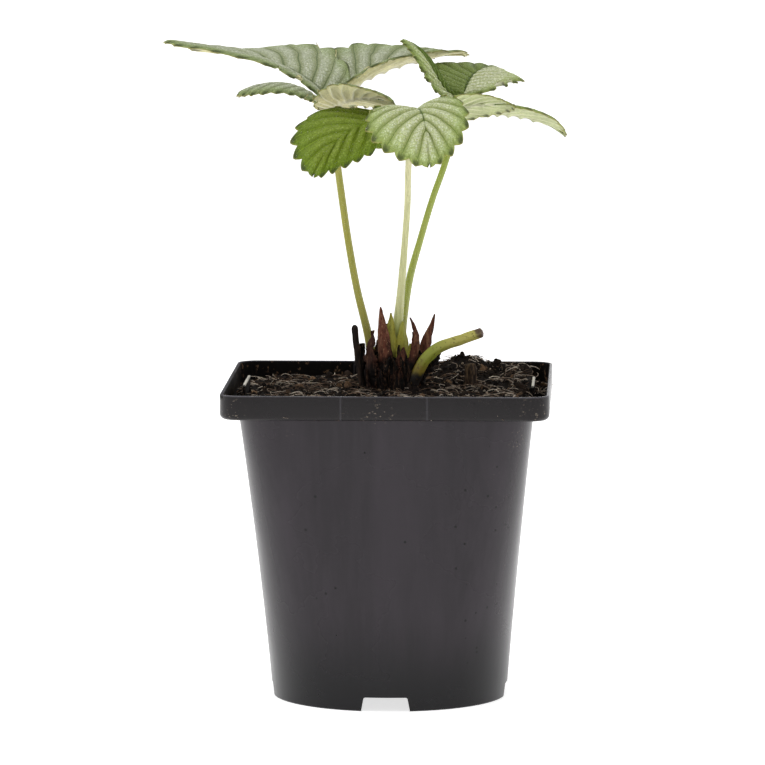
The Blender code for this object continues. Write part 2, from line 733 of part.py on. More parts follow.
def leaflet_sheet(leaflet):
    """The leaflet's middle surface: points, triangles, and each point's place along and row."""
    midrib = Midrib(leaflet)
    width = leaflet["width"] * MM
    narrow = midrib.lengths[-1] / width
    columns = (TEETH + 1) * BLADE_COLUMNS
    index, points, rows_out = {}, [], []

    def place(side, column, row):
        if row == 0 or column == columns:
            side = 0
        key = (side, column, row)
        if key not in index:
            along, out = blade_point(column / BLADE_COLUMNS, row / BLADE_ROWS, narrow)
            centre, up, right = midrib.frame(along)
            point = centre
            if side:
                share, fold_base, fold_tip, bend = leaflet["right" if side > 0 else "left"]
                fold = fold_tip + (fold_base - fold_tip) * (1 - along) ** 2
                angle = math.radians(fold + 0.5 * bend * out)
                reach = out * width * share
                point = centre + right * (side * reach * math.cos(angle)) + up * (reach * math.sin(angle))
            index[key] = len(points)
            points.append(point)
            rows_out.append((along, row))
        return index[key]

    faces = []
    for side in (-1, 1):
        for column in range(columns):
            for row in range(BLADE_ROWS):
                quad = [
                    place(side, column, row),
                    place(side, column + 1, row),
                    place(side, column + 1, row + 1),
                    place(side, column, row + 1),
                ]
                if side > 0:
                    quad.reverse()
                    quad = [quad[3], quad[0], quad[1], quad[2]]
                for face in ((quad[0], quad[1], quad[2]), (quad[0], quad[2], quad[3])):
                    if len(set(face)) == 3:
                        faces.append(face)
    return points, faces, rows_out


def blade(name, leaflet):
    points, faces, rows_out = leaflet_sheet(leaflet)
    above = [BLADE_THICK / 2] * len(points)
    below = []
    for along, row in rows_out:
        rib = RIB_THICK * (1 - RIB_TAPER * along) if row == 0 else 0.0
        below.append(BLADE_THICK / 2 + rib)
    return mesh_object(name, *thicken(points, faces, above, below))


def leaf(name):
    knots = PETIOLES[name]
    made = tube(name, knots, look=material(name, LEAF_GREENS[name], 0.55))
    hub = Vector(knots[-1][0]) * MM
    pieces = [ball("hub", hub, HUB_RADIUS)]
    pieces += [blade(name + "_leaflet", leaflet) for leaflet in LEAFLETS[name]]
    join(made, pieces)
    return made


def ball(name, centre, radius):
    mesh = bpy.data.meshes.new(name)
    shaped = bmesh.new()
    bmesh.ops.create_icosphere(shaped, subdivisions=2, radius=radius, matrix=Matrix.Translation(centre))
    shaped.to_mesh(mesh)
    shaped.free()
    obj = bpy.data.objects.new(name, mesh)
    bpy.context.scene.collection.objects.link(obj)
    return obj


def main():
    clear_scene()
    pot()
    stalk_look = material("cut_stalk", STALK_GREEN, 0.5)
    dead_look = material("dead_stalk", DEAD_BROWN, 0.9)
    tube("cut_stalk", CUT_STALK, sides=10, look=stalk_look)
    tube("dead_stalk", DEAD_STALK, look=dead_look)
    tube("old_stub", OLD_STUB, look=dead_look)
    lancet("bud_scale", *BUD, look=material("bud_scale", BUD_GREEN, 0.5))
    for name in PETIOLES:
        leaf(name)
    gaps = [tube("gap", PETIOLES[name], grow=CLEAR, longer=CLEAR) for name in PETIOLES]
    gaps.append(tube("gap", CUT_STALK, sides=10, grow=CLEAR, longer=CLEAR))
    gaps.append(tube("gap", DEAD_STALK, grow=CLEAR, longer=CLEAR))
    gaps.append(lancet("gap", *BUD, grow=CLEAR))
    crown(gaps)
    holes = [crown_core("hole", HOLE_GAP)]
    holes.append(tube("hole", CUT_STALK, sides=10, grow=CLEAR, longer=CLEAR))
    holes.append(tube("hole", DEAD_STALK, grow=CLEAR, longer=CLEAR))
    holes.append(tube("hole", OLD_STUB, grow=CLEAR, longer=CLEAR))
    soil(holes)


main()
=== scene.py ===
"""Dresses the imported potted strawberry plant: leaves, stalks, crown, soil and pot, on a pale studio floor.

Metres, +Z up, in the CAD model's own frame. Finished pieces sit at the origin with their place in the mesh.
"""

import json
import math
import random
from collections import namedtuple

import bmesh
import bpy
import numpy as np
from mathutils import Matrix, Vector, noise

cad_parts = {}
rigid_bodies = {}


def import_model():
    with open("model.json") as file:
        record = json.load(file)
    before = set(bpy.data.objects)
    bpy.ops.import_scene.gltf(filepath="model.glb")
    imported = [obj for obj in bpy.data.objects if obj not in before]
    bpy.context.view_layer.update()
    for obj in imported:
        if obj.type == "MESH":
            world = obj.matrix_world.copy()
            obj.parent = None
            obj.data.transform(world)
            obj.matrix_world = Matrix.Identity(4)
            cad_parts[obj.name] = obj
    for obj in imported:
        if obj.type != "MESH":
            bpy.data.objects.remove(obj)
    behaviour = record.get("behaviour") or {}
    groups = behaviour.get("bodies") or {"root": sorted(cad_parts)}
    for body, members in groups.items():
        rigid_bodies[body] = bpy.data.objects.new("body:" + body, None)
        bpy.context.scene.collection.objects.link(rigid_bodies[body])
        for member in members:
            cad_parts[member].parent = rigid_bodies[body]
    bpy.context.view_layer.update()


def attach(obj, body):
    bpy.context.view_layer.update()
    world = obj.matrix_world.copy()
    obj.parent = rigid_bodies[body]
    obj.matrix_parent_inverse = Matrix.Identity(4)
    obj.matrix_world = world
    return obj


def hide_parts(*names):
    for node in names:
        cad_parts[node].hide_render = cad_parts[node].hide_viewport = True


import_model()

bl_info = {
    "name": "Potted strawberry plant",
    "version": (1, 0, 0),
    "blender": (4, 5, 0),
    "location": "View3D > Sidebar > Plant",
    "description": "Builds a young strawberry plant in its nursery pot",
    "category": "Add Mesh",
}

MM = 0.001
ROOT = "root"
EVEN = (1, 1, 1)

# Pot sizes, as in the CAD model
BAND_HEIGHT = 8.3 * MM
BAND_FILLET = 1.8 * MM
RIM_CORNER = 7 * MM
WALL = 1.1 * MM
BODY_TOP_CORNER = 16 * MM
BODY_TOP_WIDTH = 99 * MM
BODY_FOOT_WIDTH = 80 * MM
TAPER_BEND = 1.6 * MM
FLOOR_HEIGHT = 6 * MM
FLOOR_THICK = 1.2 * MM
FLAT_LEFT = 0.5 * MM
CENTRE_PAD_RADIUS = 7 * MM
NOTCH_WIDTH = 16.5 * MM
NOTCH_TOP_WIDTH = 15 * MM
NOTCH_HEIGHT = 4.8 * MM
NOTCH_ROUND = 0.8 * MM
NOTCH_DEPTHS = (30 * MM, 50 * MM)
DRAIN_RADIUS = 4 * MM
DRAIN_FROM_AXIS = 24 * MM
DRAIN_HEIGHTS = (1 * MM, FLOOR_HEIGHT + 2 * MM)
DRAIN_SIDES = 32
POCKET_LENGTH = 29 * MM
POCKET_WALL_HEIGHT = 6.4 * MM
POCKET_SINK = 0.1 * MM
POCKET_EDGE = 0.2 * MM
# Grid of the pot's wall: rings from foot to ledge, and steps round a corner and along a side
WALL_RINGS = 26
CORNER_STEPS = 14
SIDE_STEPS = 10
# Steps round the band's fillet, and round each small rounded edge
FILLET_STEPS = 6
EDGE_STEPS = 4
# Where peat dust clings to the band: centre and reach; and its two faint upright lines, all in millimetres
DIRT_PATCHES = (((-2, -55, 100.5), 8), ((50, -54, 103), 7), ((-52, -54, 103), 7), ((49, -45, 90), 10))
BAND_LINES = (-14.4, 14.4)
# Colour of the wall: heights between which the painted shade at its foot fades,
# height from which more and more dust clings to it, and how far to the right of the middle black specks
# thicken
FOOT_SHADE = (4 * MM, 36 * MM)
DUST_FROM = 60 * MM
SPECKS_RIGHT = (15 * MM, 44 * MM)

# Soil relief, as in the CAD model but for a broader, lower mound
SOIL_GAP = 0.3 * MM
SOIL_LEVEL = 103.2 * MM
SOIL_RISE = 2.8 * MM
SOIL_LUMP = 0.7 * MM
MOUND_HEIGHT = 4.6 * MM
MOUND_RADIUS = 8.5 * MM
MOUND_PLACE = (24 * MM, 39 * MM)
CROWN_MOUND = 1.5 * MM
# Loose peat heaped up towards the pot's right back corner
BANK_HEIGHT = 2.2 * MM
BANK_FROM = (22 * MM, 40 * MM)
# Rings of the soil's side and top
SOIL_SIDE_RINGS = 8
SOIL_TOP_RINGS = 110
# The bed that crumbs are scattered on: squares along one side, how far it keeps off the pot's wall and
# corners, and the step from the peat up to the pot's ledge
BED_SQUARES = 84
BED_INSET = 2.2 * WALL
BED_CORNER = 1.88
PEAT_INSET = 3.2 * MM
STEP_WIDTH = 2 * MM
STEP_LIFT = 0.2 * MM
# First seed of each scattered thing
CRUMB_SEED = 11
LUMP_SEED = 31
FIBRE_SEED = 51
HAIR_SEED = 5
# In radians: a full turn, and how far a fibre and a hair lean
FULL_TURN = 6.28
FIBRE_LEAN = 0.35
HAIR_LEAN = 0.7

# Crown sizes, as in the CAD model
CROWN_CENTRE = (1.4 * MM, 0.0)
CROWN_RADIUS = 9.6 * MM
CROWN_BOTTOM = 92 * MM
CROWN_TOP = 116.5 * MM
CORE_SIDES = 120
CORE_RINGS = 70
CORE_TOP_RINGS = 14
# Dry scales: how hollow, how full at the foot, how fast they narrow, half the width of the tip, height of
# their streaks, where a tip starts to hook and how sharply, and heights between which their dark foot fades
SCALE_HOLLOW = 0.28
SCALE_FULLEST = 0.36
SCALE_ROUND = 0.8
SCALE_TIP = 0.03 * MM
SCALE_STREAK = 0.16 * MM
HOOK_FROM = 0.72
HOOK_BEND = 13
DARK_SCALE_FOOT = (109 * MM, 117 * MM)

# Stalk grid: points round it, and rings from one knot to the next
STALK_SIDES = 28
STALK_RINGS = 22

# Leaf blades: teeth along each side, and steps along the midrib that its length is measured by
TEETH = 9
MIDRIB_STEPS = 60
# Teeth: how deep the notches are as a share of the half width, how far teeth lean to the tip, how blunt they
# are, where along them the notches start, and how far their points droop
TOOTH_CUT = 0.12
TOOTH_LEAN = 0.10
TOOTH_POINT = 1.45
FIRST_TOOTH = 1.6
TOOTH_DROOP = 0.9 * MM
# Outline: how much is left off at the foot, how far its widest place lies to the tip, and how full it is
EDGE_START = 0.04
EDGE_LEAN = 1.08
EDGE_FULL = 0.54
# Side veins: how far up the midrib the last starts, and how they crowd towards the foot
VEIN_REACH = 0.80
VEIN_CROWD = 1.7
# How far midrib and side veins stand out on the underside
UNDER_MIDRIB = 0.75 * MM
UNDER_VEIN = 0.22 * MM
# How far a side vein wanders between midrib and edge, in teeth, and how often
VEIN_DRIFT = 0.14
VEIN_DRIFT_SCALE = 130

# Stalks: points in millimetres from the crown up to the leaf's hub, with the radius at each
PETIOLES = {
    "leaf_left": (
        ((-5.5, 2.5, 102), 1.5), ((-7.0, 2.5, 120), 1.45), ((-11.3, 2.5, 138.5), 1.25),
        ((-14.4, 3.0, 155.5), 1.2), ((-16.9, 4.0, 172.6), 1.2), ((-18.8, 5.0, 186), 1.15),
        ((-21.3, 6.0, 199.5), 1.2),
    ),
    "leaf_middle": (
        ((1.0, -1.6, 102), 2.0), ((2.3, -2.0, 122), 1.9), ((3.6, -2.6, 136), 1.4), ((5.0, -4.0, 153), 1.1),
        ((6.1, -5.0, 168), 1.05), ((6.5, -7.0, 181), 1.05), ((7.5, -9.0, 195), 1.15),
    ),
    "leaf_right": (
        ((3.4, 4.2, 102), 1.7), ((3.7, 4.0, 122), 1.6), ((6.3, 3.3, 141), 1.25), ((10.2, 2.6, 155.7), 1.1),
        ((14.3, 2.4, 169.5), 1.05), ((19.0, 3.0, 183), 1.05), ((25.1, 4.0, 204.5), 1.15),
    ),
}

# Leaflets: midrib as four control points in millimetres, upward directions at base and tip,
# half width, each half's share of it, fold at base and tip and bend, in degrees, and the blade's finish;
# some also have how high the pleats stand, or the painted light and shade on each half, as a share of its
# brightness
Leaflet = namedtuple("Leaflet", "mid up width left right look pucker tint", defaults=(1.0, (1.0, 1.0)))
LEAFLETS = {
    "leaf_left": (
        Leaflet(
            ((-19.8, 6, 200.4), (-26.5, 9, 212.5), (-44, 16, 219.5), (-79, 26, 222)),
            ((0.2, 0.05, 1), (0, 0, 1)), 22, (0.42, 0, 0, 0), (1.28, 62, -10, 0), "grey_green", 0.55,
        ),
        Leaflet(
            ((-22.2, 7, 200.6), (-12.5, 12, 210), (1.5, 34, 216.3), (24.5, 52, 216)),
            ((-0.2, 0, 1), (0, 0, 1)), 22, (0.95, 62, 14, 0), (0.75, 40, 12, 0), "grey_green", 0.7,
        ),
        Leaflet(
            ((-21.8, 5.2, 200.6), (-29, 0, 210.3), (-40, -8, 212), (-51, -16, 206.5)),
            ((0.3, -0.2, 1), (-0.3, -0.2, 1)), 12, (0.6, -8, -8, -20), (1.0, -15, -15, -20), "grey_green",
        ),
        Leaflet(
            ((-21.2, 5.4, 199.8), (-17, -1, 204.3), (-9, -7, 206.7), (2, -15, 204)),
            ((-0.3, 0.4, 1), (0.2, 0.5, 1)), 14, (1.0, 0, 0, 0), (1.15, 0, 0, 0), "grey_green",
        ),
    ),
    "leaf_middle": (
        Leaflet(
            ((7, -9, 196), (-3, -17, 199.5), (-17, -30, 198), (-24.5, -35, 180)),
            ((0, -0.3, 1), (-0.4, -1, 0.4)), 21.5, (0.52, -10, -10, -30), (1.0, 0, 0, -20),
            "deep_green", 0.65,
        ),
        Leaflet(
            ((8, -10, 196), (10, -19, 206.5), (13.7, -38, 203), (15, -48, 184.5)),
            ((0, -0.3, 1), (0, -1, 0.3)), 18, (0.86, 32, 3, -15), (1.12, 28, 0, -15), "light_green",
        ),
        Leaflet(
            ((8.8, -8.5, 196), (20, -8, 202.5), (33, -9, 204.2), (43, -14, 202.6)),
            ((0, 1.1, 1), (0, 0.8, 1)), 7, (1.0, 0, 0, 0), (1.0, 0, 0, 0), "light_green",
        ),
    ),
    "leaf_right": (
        Leaflet(
            ((25.8, 5, 203.6), (28, 7, 195), (42, 9, 203.5), (60, 13, 191)),
            ((0, 0, 1), (0, 0, 1)), 18, (1.0, 10, 5, 0), (1.0, 14, 12, 0), "mid_green",
        ),
        Leaflet(
            ((25.1, 4, 205.4), (26.2, 14, 210.2), (28, 26, 214.3), (38, 40, 211.4)),
            ((0, -0.6, 1), (0.1, -0.2, 1)), 17, (1.15, 5, -5, 0), (1.0, 5, 0, 0), "mid_green",
            tint=(0.42, 1.28),
        ),
        Leaflet(
            ((24.9, 4, 205.1), (16.5, 5, 202), (16, 9, 217), (3.4, 16, 223.6)),
            ((0.5, 0, 1), (0.5, 0, 1)), 16, (0.28, -70, 0, 0), (0.14, 60, 55, 0), "light_green",
            tint=(0.92, 0.25),
        ),
    ),
}

# Blade finishes: upper side, how dark its painted shade is between pleats, its veins, the painted sheen on
# its pleats and how strong that is, underside, its veins
LEAF_LOOKS = {
    "grey_green": ("#ACB586", 0.92, "#66764C", "#F6F8EE", 0.66, "#F4EEBC", "#F8F4D6"),
    "deep_green": ("#6F8502", 0.84, "#8FAA2C", "#DCEB90", 0.26, "#B4C492", "#CBD3A6"),
    "light_green": ("#C6D27F", 0.68, "#5F7C30", "#FBFCF0", 0.76, "#DDE4B0", "#ECEECC"),
    "mid_green": ("#B4C074", 0.84, "#62782F", "#F2F6E2", 0.58, "#DEE4B4", "#EEF0CA"),
}
# The blade's colour towards its edge, as shares of red, green and blue
OUTER_ZONE = (0.70, 0.84, 0.44, 1.0)
# Stalk finishes: at the crown, half way and at the leaf
STALK_LOOKS = {
    "leaf_left": ("#A3983E", "#A39E40", "#A8A455"),
    "leaf_middle": ("#A3AC4C", "#D8D8A0", "#E2DCB4"),
    "leaf_right": ("#B2B35C", "#A5B050", "#8A993C"),
}

# The dry scales that show: foot, tip and how far the middle bows, in millimetres, with the width
# and the turn of its face about the upright, in degrees
NAMED_SCALES = (
    ((-0.9, -8.5, 108), (-3.0, -5.5, 133.5), (0, -1.5, 0), 5.2, 0),
    ((-5.5, -7.0, 106), (-5.6, -6.0, 125.5), (-1.5, -1, 0), 6.0, 0),
    ((5.2, -8.5, 108), (8.6, -6.0, 130), (2.0, -1, 0), 3.5, 0),
    ((10.2, -1.8, 110), (15.9, 0.0, 130.6), (-0.6, 0, 0), 4.6, -50),
    ((3.0, -9.0, 105), (5.0, -7.8, 120), (0, -1, 0), 6.0, 0),
    ((8.5, -3.5, 108), (17.4, -3.5, 117.5), (1, 0, 0), 5.5, -40),
)
# How red each of them is, how ragged, and how far its tip hooks sideways in millimetres
SCALE_FINISH = (
    (0.95, 0.12, 0), (0.25, 0.9, 0), (0.6, 0.35, 1.6), (0.8, 0.2, 0.6), (0.5, 0.6, 0), (0.0, 0.8, 0)
)
BACK_SCALES = 9
BACK_SEED = 7
TATTER_SEED = 500
# Green sheaths beside the fresh scale, in the same measures
SHEATHS = (
    ((3.6, -5.4, 108), (4.6, -4.4, 128.5), (0.7, -0.8, 0), 6.4, 10),
    ((6.6, -6.6, 107), (7.4, -5.6, 121), (0.3, -0.6, 0), 4.2, 0),
)
BUD = ((1.8, -6.0, 111), (0.6, -5.2, 131.4), (-0.6, -0.8, 0), 4.6, 0)
CUT_STALK = (
    ((6.0, -5.5, 101), 1.5), ((9.1, -7.0, 110), 2.1), ((12.2, -8.0, 115.8), 2.0),
    ((17.3, -9.0, 120.3), 1.9), ((24.8, -9.5, 123), 1.75), ((32.0, -10.0, 125.6), 1.7),
)
DEAD_STALK = (
    ((-5.5, -3.5, 97), 1.1), ((-8.9, -4.0, 105), 1.15),
    ((-11.1, -4.0, 118.5), 1.1), ((-11.9, -4.0, 127.2), 1.05),
)
OLD_STUB = (((26.5, 5, 96), 1.9), ((26.9, 5, 104), 2.1), ((27.3, 5, 110), 2.1), ((27.0, 5, 113.2), 1.8))

# Soft lights: place, size and strength. They all face one point just above the soil.
LIGHTS = {
    "top": ((-0.3, -0.2, 1.9), (1.6, 1.6), 13),
    "left": ((-1.5, 0.3, 0.9), (0.7, 1.6), 4),
    "right": ((1.5, 0.3, 0.9), (0.7, 1.6), 4),
}
LIGHT_AIM = (0, 0, 0.12)
# The floor's first ring, the end of its flat part, the radius of its sweep up, and its grid
FLOOR_NEAR = 1.2
FLOOR_REACH = 3.0
FLOOR_SWEEP = 0.8
FLOOR_SIDES = 48
SWEEP_STEPS = 10


def shade(colour, share=1.0):
    """Linear red, green, blue and alpha of a colour or a hex code, made darker or brighter by share."""
    if isinstance(colour, str):
        parts = [int(colour[i : i + 2], 16) / 255 for i in (1, 3, 5)]
        colour = [c / 12.92 if c <= 0.04045 else ((c + 0.055) / 1.055) ** 2.4 for c in parts]
    return (*(c * share for c in colour), 1.0)


# Settings that a user would change


def length_setting(name, description, default):
    return bpy.props.FloatProperty(name=name, description=description, default=default, unit="LENGTH")


def angle_setting(name, description, degrees):
    default = math.radians(degrees)
    return bpy.props.FloatProperty(name=name, description=description, default=default, subtype="ANGLE")


def number_setting(name, description, default):
    return bpy.props.FloatProperty(name=name, description=description, default=default)


def count_setting(name, description, default, least):
    return bpy.props.IntProperty(name=name, description=description, default=default, min=least)


def colour_setting(name, description, colour):
    default = shade(colour)[:3]
    return bpy.props.FloatVectorProperty(name=name, description=description, default=default, subtype="COLOR")


class PotSettings(bpy.types.PropertyGroup):
    rim_width: length_setting("Rim width", "Width of the square rim", 110 * MM)
    rim_height: length_setting("Rim height", "Height of the rim's top", 108.5 * MM)
    edge_round: length_setting("Edge rounding", "Radius of the rim's edges", 0.35 * MM)
    colour: colour_setting("Plastic", "Colour of the pot", "#2A252A")
    dust: colour_setting("Dust", "Colour of dried peat dust", "#8C8070")


class SoilSettings(bpy.types.PropertyGroup):
    relief: length_setting("Relief", "Height of the fine lumps", 1.1 * MM)
    crumb_size: length_setting("Crumb size", "Middling radius of a crumb", 0.38 * MM)
    crumb_density: number_setting("Crumb density", "Crumbs per square metre", 620000.0)
    lump_size: length_setting("Lump size", "Middling radius of a lump", 1.15 * MM)
    lump_density: number_setting("Lump density", "Lumps per square metre", 60000.0)
    fibre_length: length_setting("Fibre length", "Middling length of a fibre", 4.0 * MM)
    fibre_density: number_setting("Fibre density", "Fibres per square metre", 220000.0)
    dark: colour_setting("Peat", "Colour of the peat", "#17110F")
    pale: colour_setting("Fibre", "Colour of the palest fibres", "#F4E6D6")


class CrownSettings(bpy.types.PropertyGroup):
    thickness: length_setting("Scale thickness", "Thickness of a dry scale", 0.4 * MM)
    tatters: count_setting("Tatters", "Small torn scales round the crown", 110, 0)
    brown: colour_setting("Dry scale", "Colour of the dry scales", "#6A3E30")
    dark: colour_setting("Crown", "Colour of the crown", "#0D0908")
    green: colour_setting("Fresh scale", "Colour of the fresh scale", "#9A943C")


class LeafSettings(bpy.types.PropertyGroup):
    columns: count_setting("Columns per tooth", "Grid columns for each tooth", 12, 2)
    rows: count_setting("Rows", "Grid rows from midrib to edge", 36, 3)
    thickness: length_setting("Blade thickness", "Thickness of a blade", 0.5 * MM)
    pucker: length_setting("Pucker", "Height of the blade between side veins", 0.8 * MM)
    groove: length_setting("Vein groove", "Depth of a side vein's groove", 0.34 * MM)
    cell: length_setting("Cell size", "Width of the small quilted cells between veins", 1.0 * MM)
    cell_height: length_setting("Cell height", "Height of the small quilted cells", 0.10 * MM)
    wave: length_setting("Wave", "Height of the blade's slow waves", 0.7 * MM)
    hair_length: length_setting("Hair length", "Length of a hair", 0.6 * MM)
    blade_hairs: number_setting("Blade hairs", "Hairs per square metre of blade", 520000.0)
    stalk_hairs: number_setting("Stalk hairs", "Hairs per square metre of stalk", 2600000.0)


class StageSettings(bpy.types.PropertyGroup):
    floor: colour_setting("Floor", "Colour of floor and backdrop", (0.9, 0.9, 0.9))
    glow: number_setting("Glow", "Light that the floor and backdrop give by themselves", 0.7)
    sky: number_setting("Sky", "Light from all round", 0.40)
    azimuth: angle_setting("Azimuth", "Camera's turn about the pot", 2.20)
    pitch: angle_setting("Pitch", "Camera's height as an angle", 6.48)
    distance: length_setting("Distance", "Camera to its target", 2.035)
    focal: bpy.props.FloatProperty(
        name="Focal length", description="Lens for a 36 mm wide picture", default=280.6, unit="CAMERA"
    )
    target: bpy.props.FloatVectorProperty(
        name="Target",
        description="Point that the camera looks at",
        default=(-0.00251, 0, 0.10704),
        unit="LENGTH",
    )
    power: number_setting("Light", "Strength of the soft lights", 1.2)


class PlantSettings(bpy.types.PropertyGroup):
    pot: bpy.props.PointerProperty(type=PotSettings)
    soil: bpy.props.PointerProperty(type=SoilSettings)
    crown: bpy.props.PointerProperty(type=CrownSettings)
    leaf: bpy.props.PointerProperty(type=LeafSettings)
    stage: bpy.props.PointerProperty(type=StageSettings)


def settings():
    return bpy.context.scene.strawberry_plant


# Meshes


def new_object(name, data):
    obj = bpy.data.objects.new(name, data)
    bpy.context.scene.collection.objects.link(obj)
    return obj


def mesh_object(name, points, faces, look=None):
    mesh = bpy.data.meshes.new(name)
    mesh.from_pydata([tuple(p) for p in points], [], [tuple(f) for f in faces])
    if look:
        mesh.materials.append(look)
    return new_object(name, mesh)


def edit_mesh(obj, change):
    shaped = bmesh.new()
    shaped.from_mesh(obj.data)
    change(shaped)
    shaped.to_mesh(obj.data)
    shaped.free()


def face_outward(obj):
    edit_mesh(obj, lambda shaped: bmesh.ops.recalc_face_normals(shaped, faces=shaped.faces))


def drop_loose_points(obj):
    def change(shaped):
        loose = [v for v in shaped.verts if not v.link_faces]
        bmesh.ops.delete(shaped, geom=loose, context="VERTS")

    edit_mesh(obj, change)


def smooth(obj, angle):
    obj.data.shade_smooth()
    obj.data.set_sharp_from_angle(angle=math.radians(angle))


def apply_modifiers(obj):
    graph = bpy.context.evaluated_depsgraph_get()
    made = bpy.data.meshes.new_from_object(obj.evaluated_get(graph))
    obj.modifiers.clear()
    old = obj.data
    obj.data = made
    bpy.data.meshes.remove(old)


def boolean(obj, others, operation):
    """Joins the others to obj or cuts them out of it, and removes them."""
    group = bpy.data.collections.new(obj.name + "_others")
    bpy.context.scene.collection.children.link(group)
    for other in others:
        bpy.context.scene.collection.objects.unlink(other)
        group.objects.link(other)
    made = obj.modifiers.new(operation.lower(), "BOOLEAN")
    made.operation = operation
    made.operand_type = "COLLECTION"
    made.collection = group
    made.solver = "MANIFOLD"
    apply_modifiers(obj)
    for other in list(group.objects):
        bpy.data.objects.remove(other, do_unlink=True)
    bpy.data.collections.remove(group)


def join_meshes(name, objects):
    """One object from several, with their materials and attributes kept."""
    for obj in bpy.context.selected_objects:
        obj.select_set(False)
    for obj in objects:
        obj.select_set(True)
    bpy.context.view_layer.objects.active = objects[0]
    if len(objects) > 1:
        bpy.ops.object.join()
    made = bpy.context.view_layer.objects.active
    made.name = name
    made.data.name = name
    made.select_set(False)
    return made


def paint(obj, name, values):
    """A number at each point."""
    layer = obj.data.attributes.new(name, "FLOAT", "POINT")
    layer.data.foreach_set("value", np.asarray(values, np.float32))


def finish_piece(obj, slot, nodes=()):
    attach(obj, ROOT)
    if nodes:
        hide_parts(*nodes)


def grid_faces(rows, stride, closed=False):
    """Quads from each row of points to the next; a closed row also joins its end to its start."""
    faces = []
    for row in range(rows):
        for i in range(stride if closed else stride - 1):
            a, b = row * stride + i, row * stride + (i + 1) % stride
            faces.append((a, b, b + stride, a + stride))
    return faces


def lofted(name, rings, low_centre, high_centre, look=None):
    """Closed surface through the rings, with a fan to a point at each end."""
    count = len(rings[0])
    points = [p for ring in rings for p in ring] + [low_centre, high_centre]
    low, high, last = len(points) - 2, len(points) - 1, (len(rings) - 1) * count
    faces = grid_faces(len(rings) - 1, count, closed=True)
    for i in range(count):
        j = (i + 1) % count
        faces += [(low, j, i), (high, last + i, last + j)]
    made = mesh_object(name, points, faces, look)
    face_outward(made)
    return made


def circle(sides):
    return [2 * math.pi * i / sides for i in range(sides)]


def arc_steps(count):
    return [math.pi / 2 * i / count for i in range(count + 1)]


def around(angle):
    return Vector((math.cos(angle), math.sin(angle), 0))


def unit(value):
    return max(0.0, min(1.0, value))


# Node helpers


class Wire:
    """What comes out of a node. Numbers take plain arithmetic."""

    def __init__(self, tree, socket):
        self.tree, self.socket = tree, socket

    def __add__(self, other):
        return self.tree.math("ADD", self, other)

    def __sub__(self, other):
        return self.tree.math("SUBTRACT", self, other)

    def __mul__(self, other):
        return self.tree.math("MULTIPLY", self, other)

    def __abs__(self):
        return self.tree.math("ABSOLUTE", self)


class Tree:
    """Short calls to add and link nodes. A hex code stands for its colour."""

    def __init__(self, nodes):
        self.nodes = nodes
        self.places = {}

    def put(self, socket, value):
        if isinstance(value, Wire):
            self.nodes.links.new(value.socket, socket)
        else:
            is_code = isinstance(value, str) and value.startswith("#")
            socket.default_value = shade(value) if is_code else value

    def add(self, kind, inputs=None, **facts):
        """A new node, with its own settings by name and its inputs by name or place."""
        node = self.nodes.nodes.new(kind)
        for key, value in facts.items():
            setattr(node, key, value)
        for key, value in (inputs or {}).items():
            self.put(node.inputs[key], value)
        return node

    def out(self, kind, inputs=None, key=0, **facts):
        """One output of a new node."""
        return Wire(self, self.add(kind, inputs, **facts).outputs[key])

    def math(self, operation, a, b=0.0):
        return self.out("ShaderNodeMath", {0: a, 1: b}, operation=operation)

    def vector(self, operation, a, b, key="Vector"):
        """Arithmetic on places; to scale one, b is a number."""
        inputs = {0: a, "Scale" if operation == "SCALE" else 1: b}
        return self.out("ShaderNodeVectorMath", inputs, key, operation=operation)

    def ramp(self, value, low, high, low_out=0.0, high_out=1.0):
        """Smooth step of value from low to high."""
        inputs = {"Value": value, "From Min": low, "From Max": high, "To Min": low_out, "To Max": high_out}
        return self.out("ShaderNodeMapRange", inputs, "Result", interpolation_type="SMOOTHSTEP")

    def noise(self, scale, detail=3.0, roughness=0.55, stretch=EVEN, distortion=0.0, key="Fac"):
        inputs = {"Vector": self.place(stretch), "Scale": scale, "Detail": detail, "Roughness": roughness}
        return self.out("ShaderNodeTexNoise", {**inputs, "Distortion": distortion}, key)

    def cells(self, where, scale, key="Distance", feature="F1", randomness=1.0):
        inputs = {"Vector": where, "Scale": scale, "Randomness": randomness}
        return self.out("ShaderNodeTexVoronoi", inputs, key, feature=feature)


class Look(Tree):
    """A new material, with short calls for what its surface is made of."""

    def __init__(self, name):
        self.material = bpy.data.materials.new(name)
        self.material.use_nodes = True
        super().__init__(self.material.node_tree)

    def place(self, stretch=EVEN):
        """The object's own coordinates, stretched."""
        if stretch not in self.places:
            coords = self.out("ShaderNodeTexCoord", key="Object")
            self.places[stretch] = self.out("ShaderNodeMapping", {"Vector": coords, "Scale": stretch})
        return self.places[stretch]

    def axes(self):
        node = self.add("ShaderNodeSeparateXYZ", {0: self.place()})
        return [Wire(self, node.outputs[axis]) for axis in "XYZ"]

    def attribute(self, name):
        return self.out("ShaderNodeAttribute", key="Fac", attribute_name=name)

    def mix(self, share, a, b, blend="MIX"):
        return self.out("ShaderNodeMix", {0: share, 6: a, 7: b}, 2, data_type="RGBA", blend_type=blend)

    def coats(self, colour, *coats):
        """The colour with one coat after another over it, each given as its share and its own colour."""
        for share, coat in coats:
            colour = self.mix(share, colour, coat)
        return colour

    def finish(self, colour, roughness, gloss=0.5, bump=None):
        """Sets the surface. A bump is given as its height, distance and strength."""
        shader = self.nodes.nodes["Principled BSDF"]
        facts = {"Base Color": colour, "Roughness": roughness, "Specular IOR Level": gloss}
        if bump:
            inputs = dict(zip(("Height", "Distance", "Strength"), bump))
            facts["Normal"] = self.out("ShaderNodeBump", inputs, "Normal")
        for key, value in facts.items():
            self.put(shader.inputs[key], value)
        return self.material


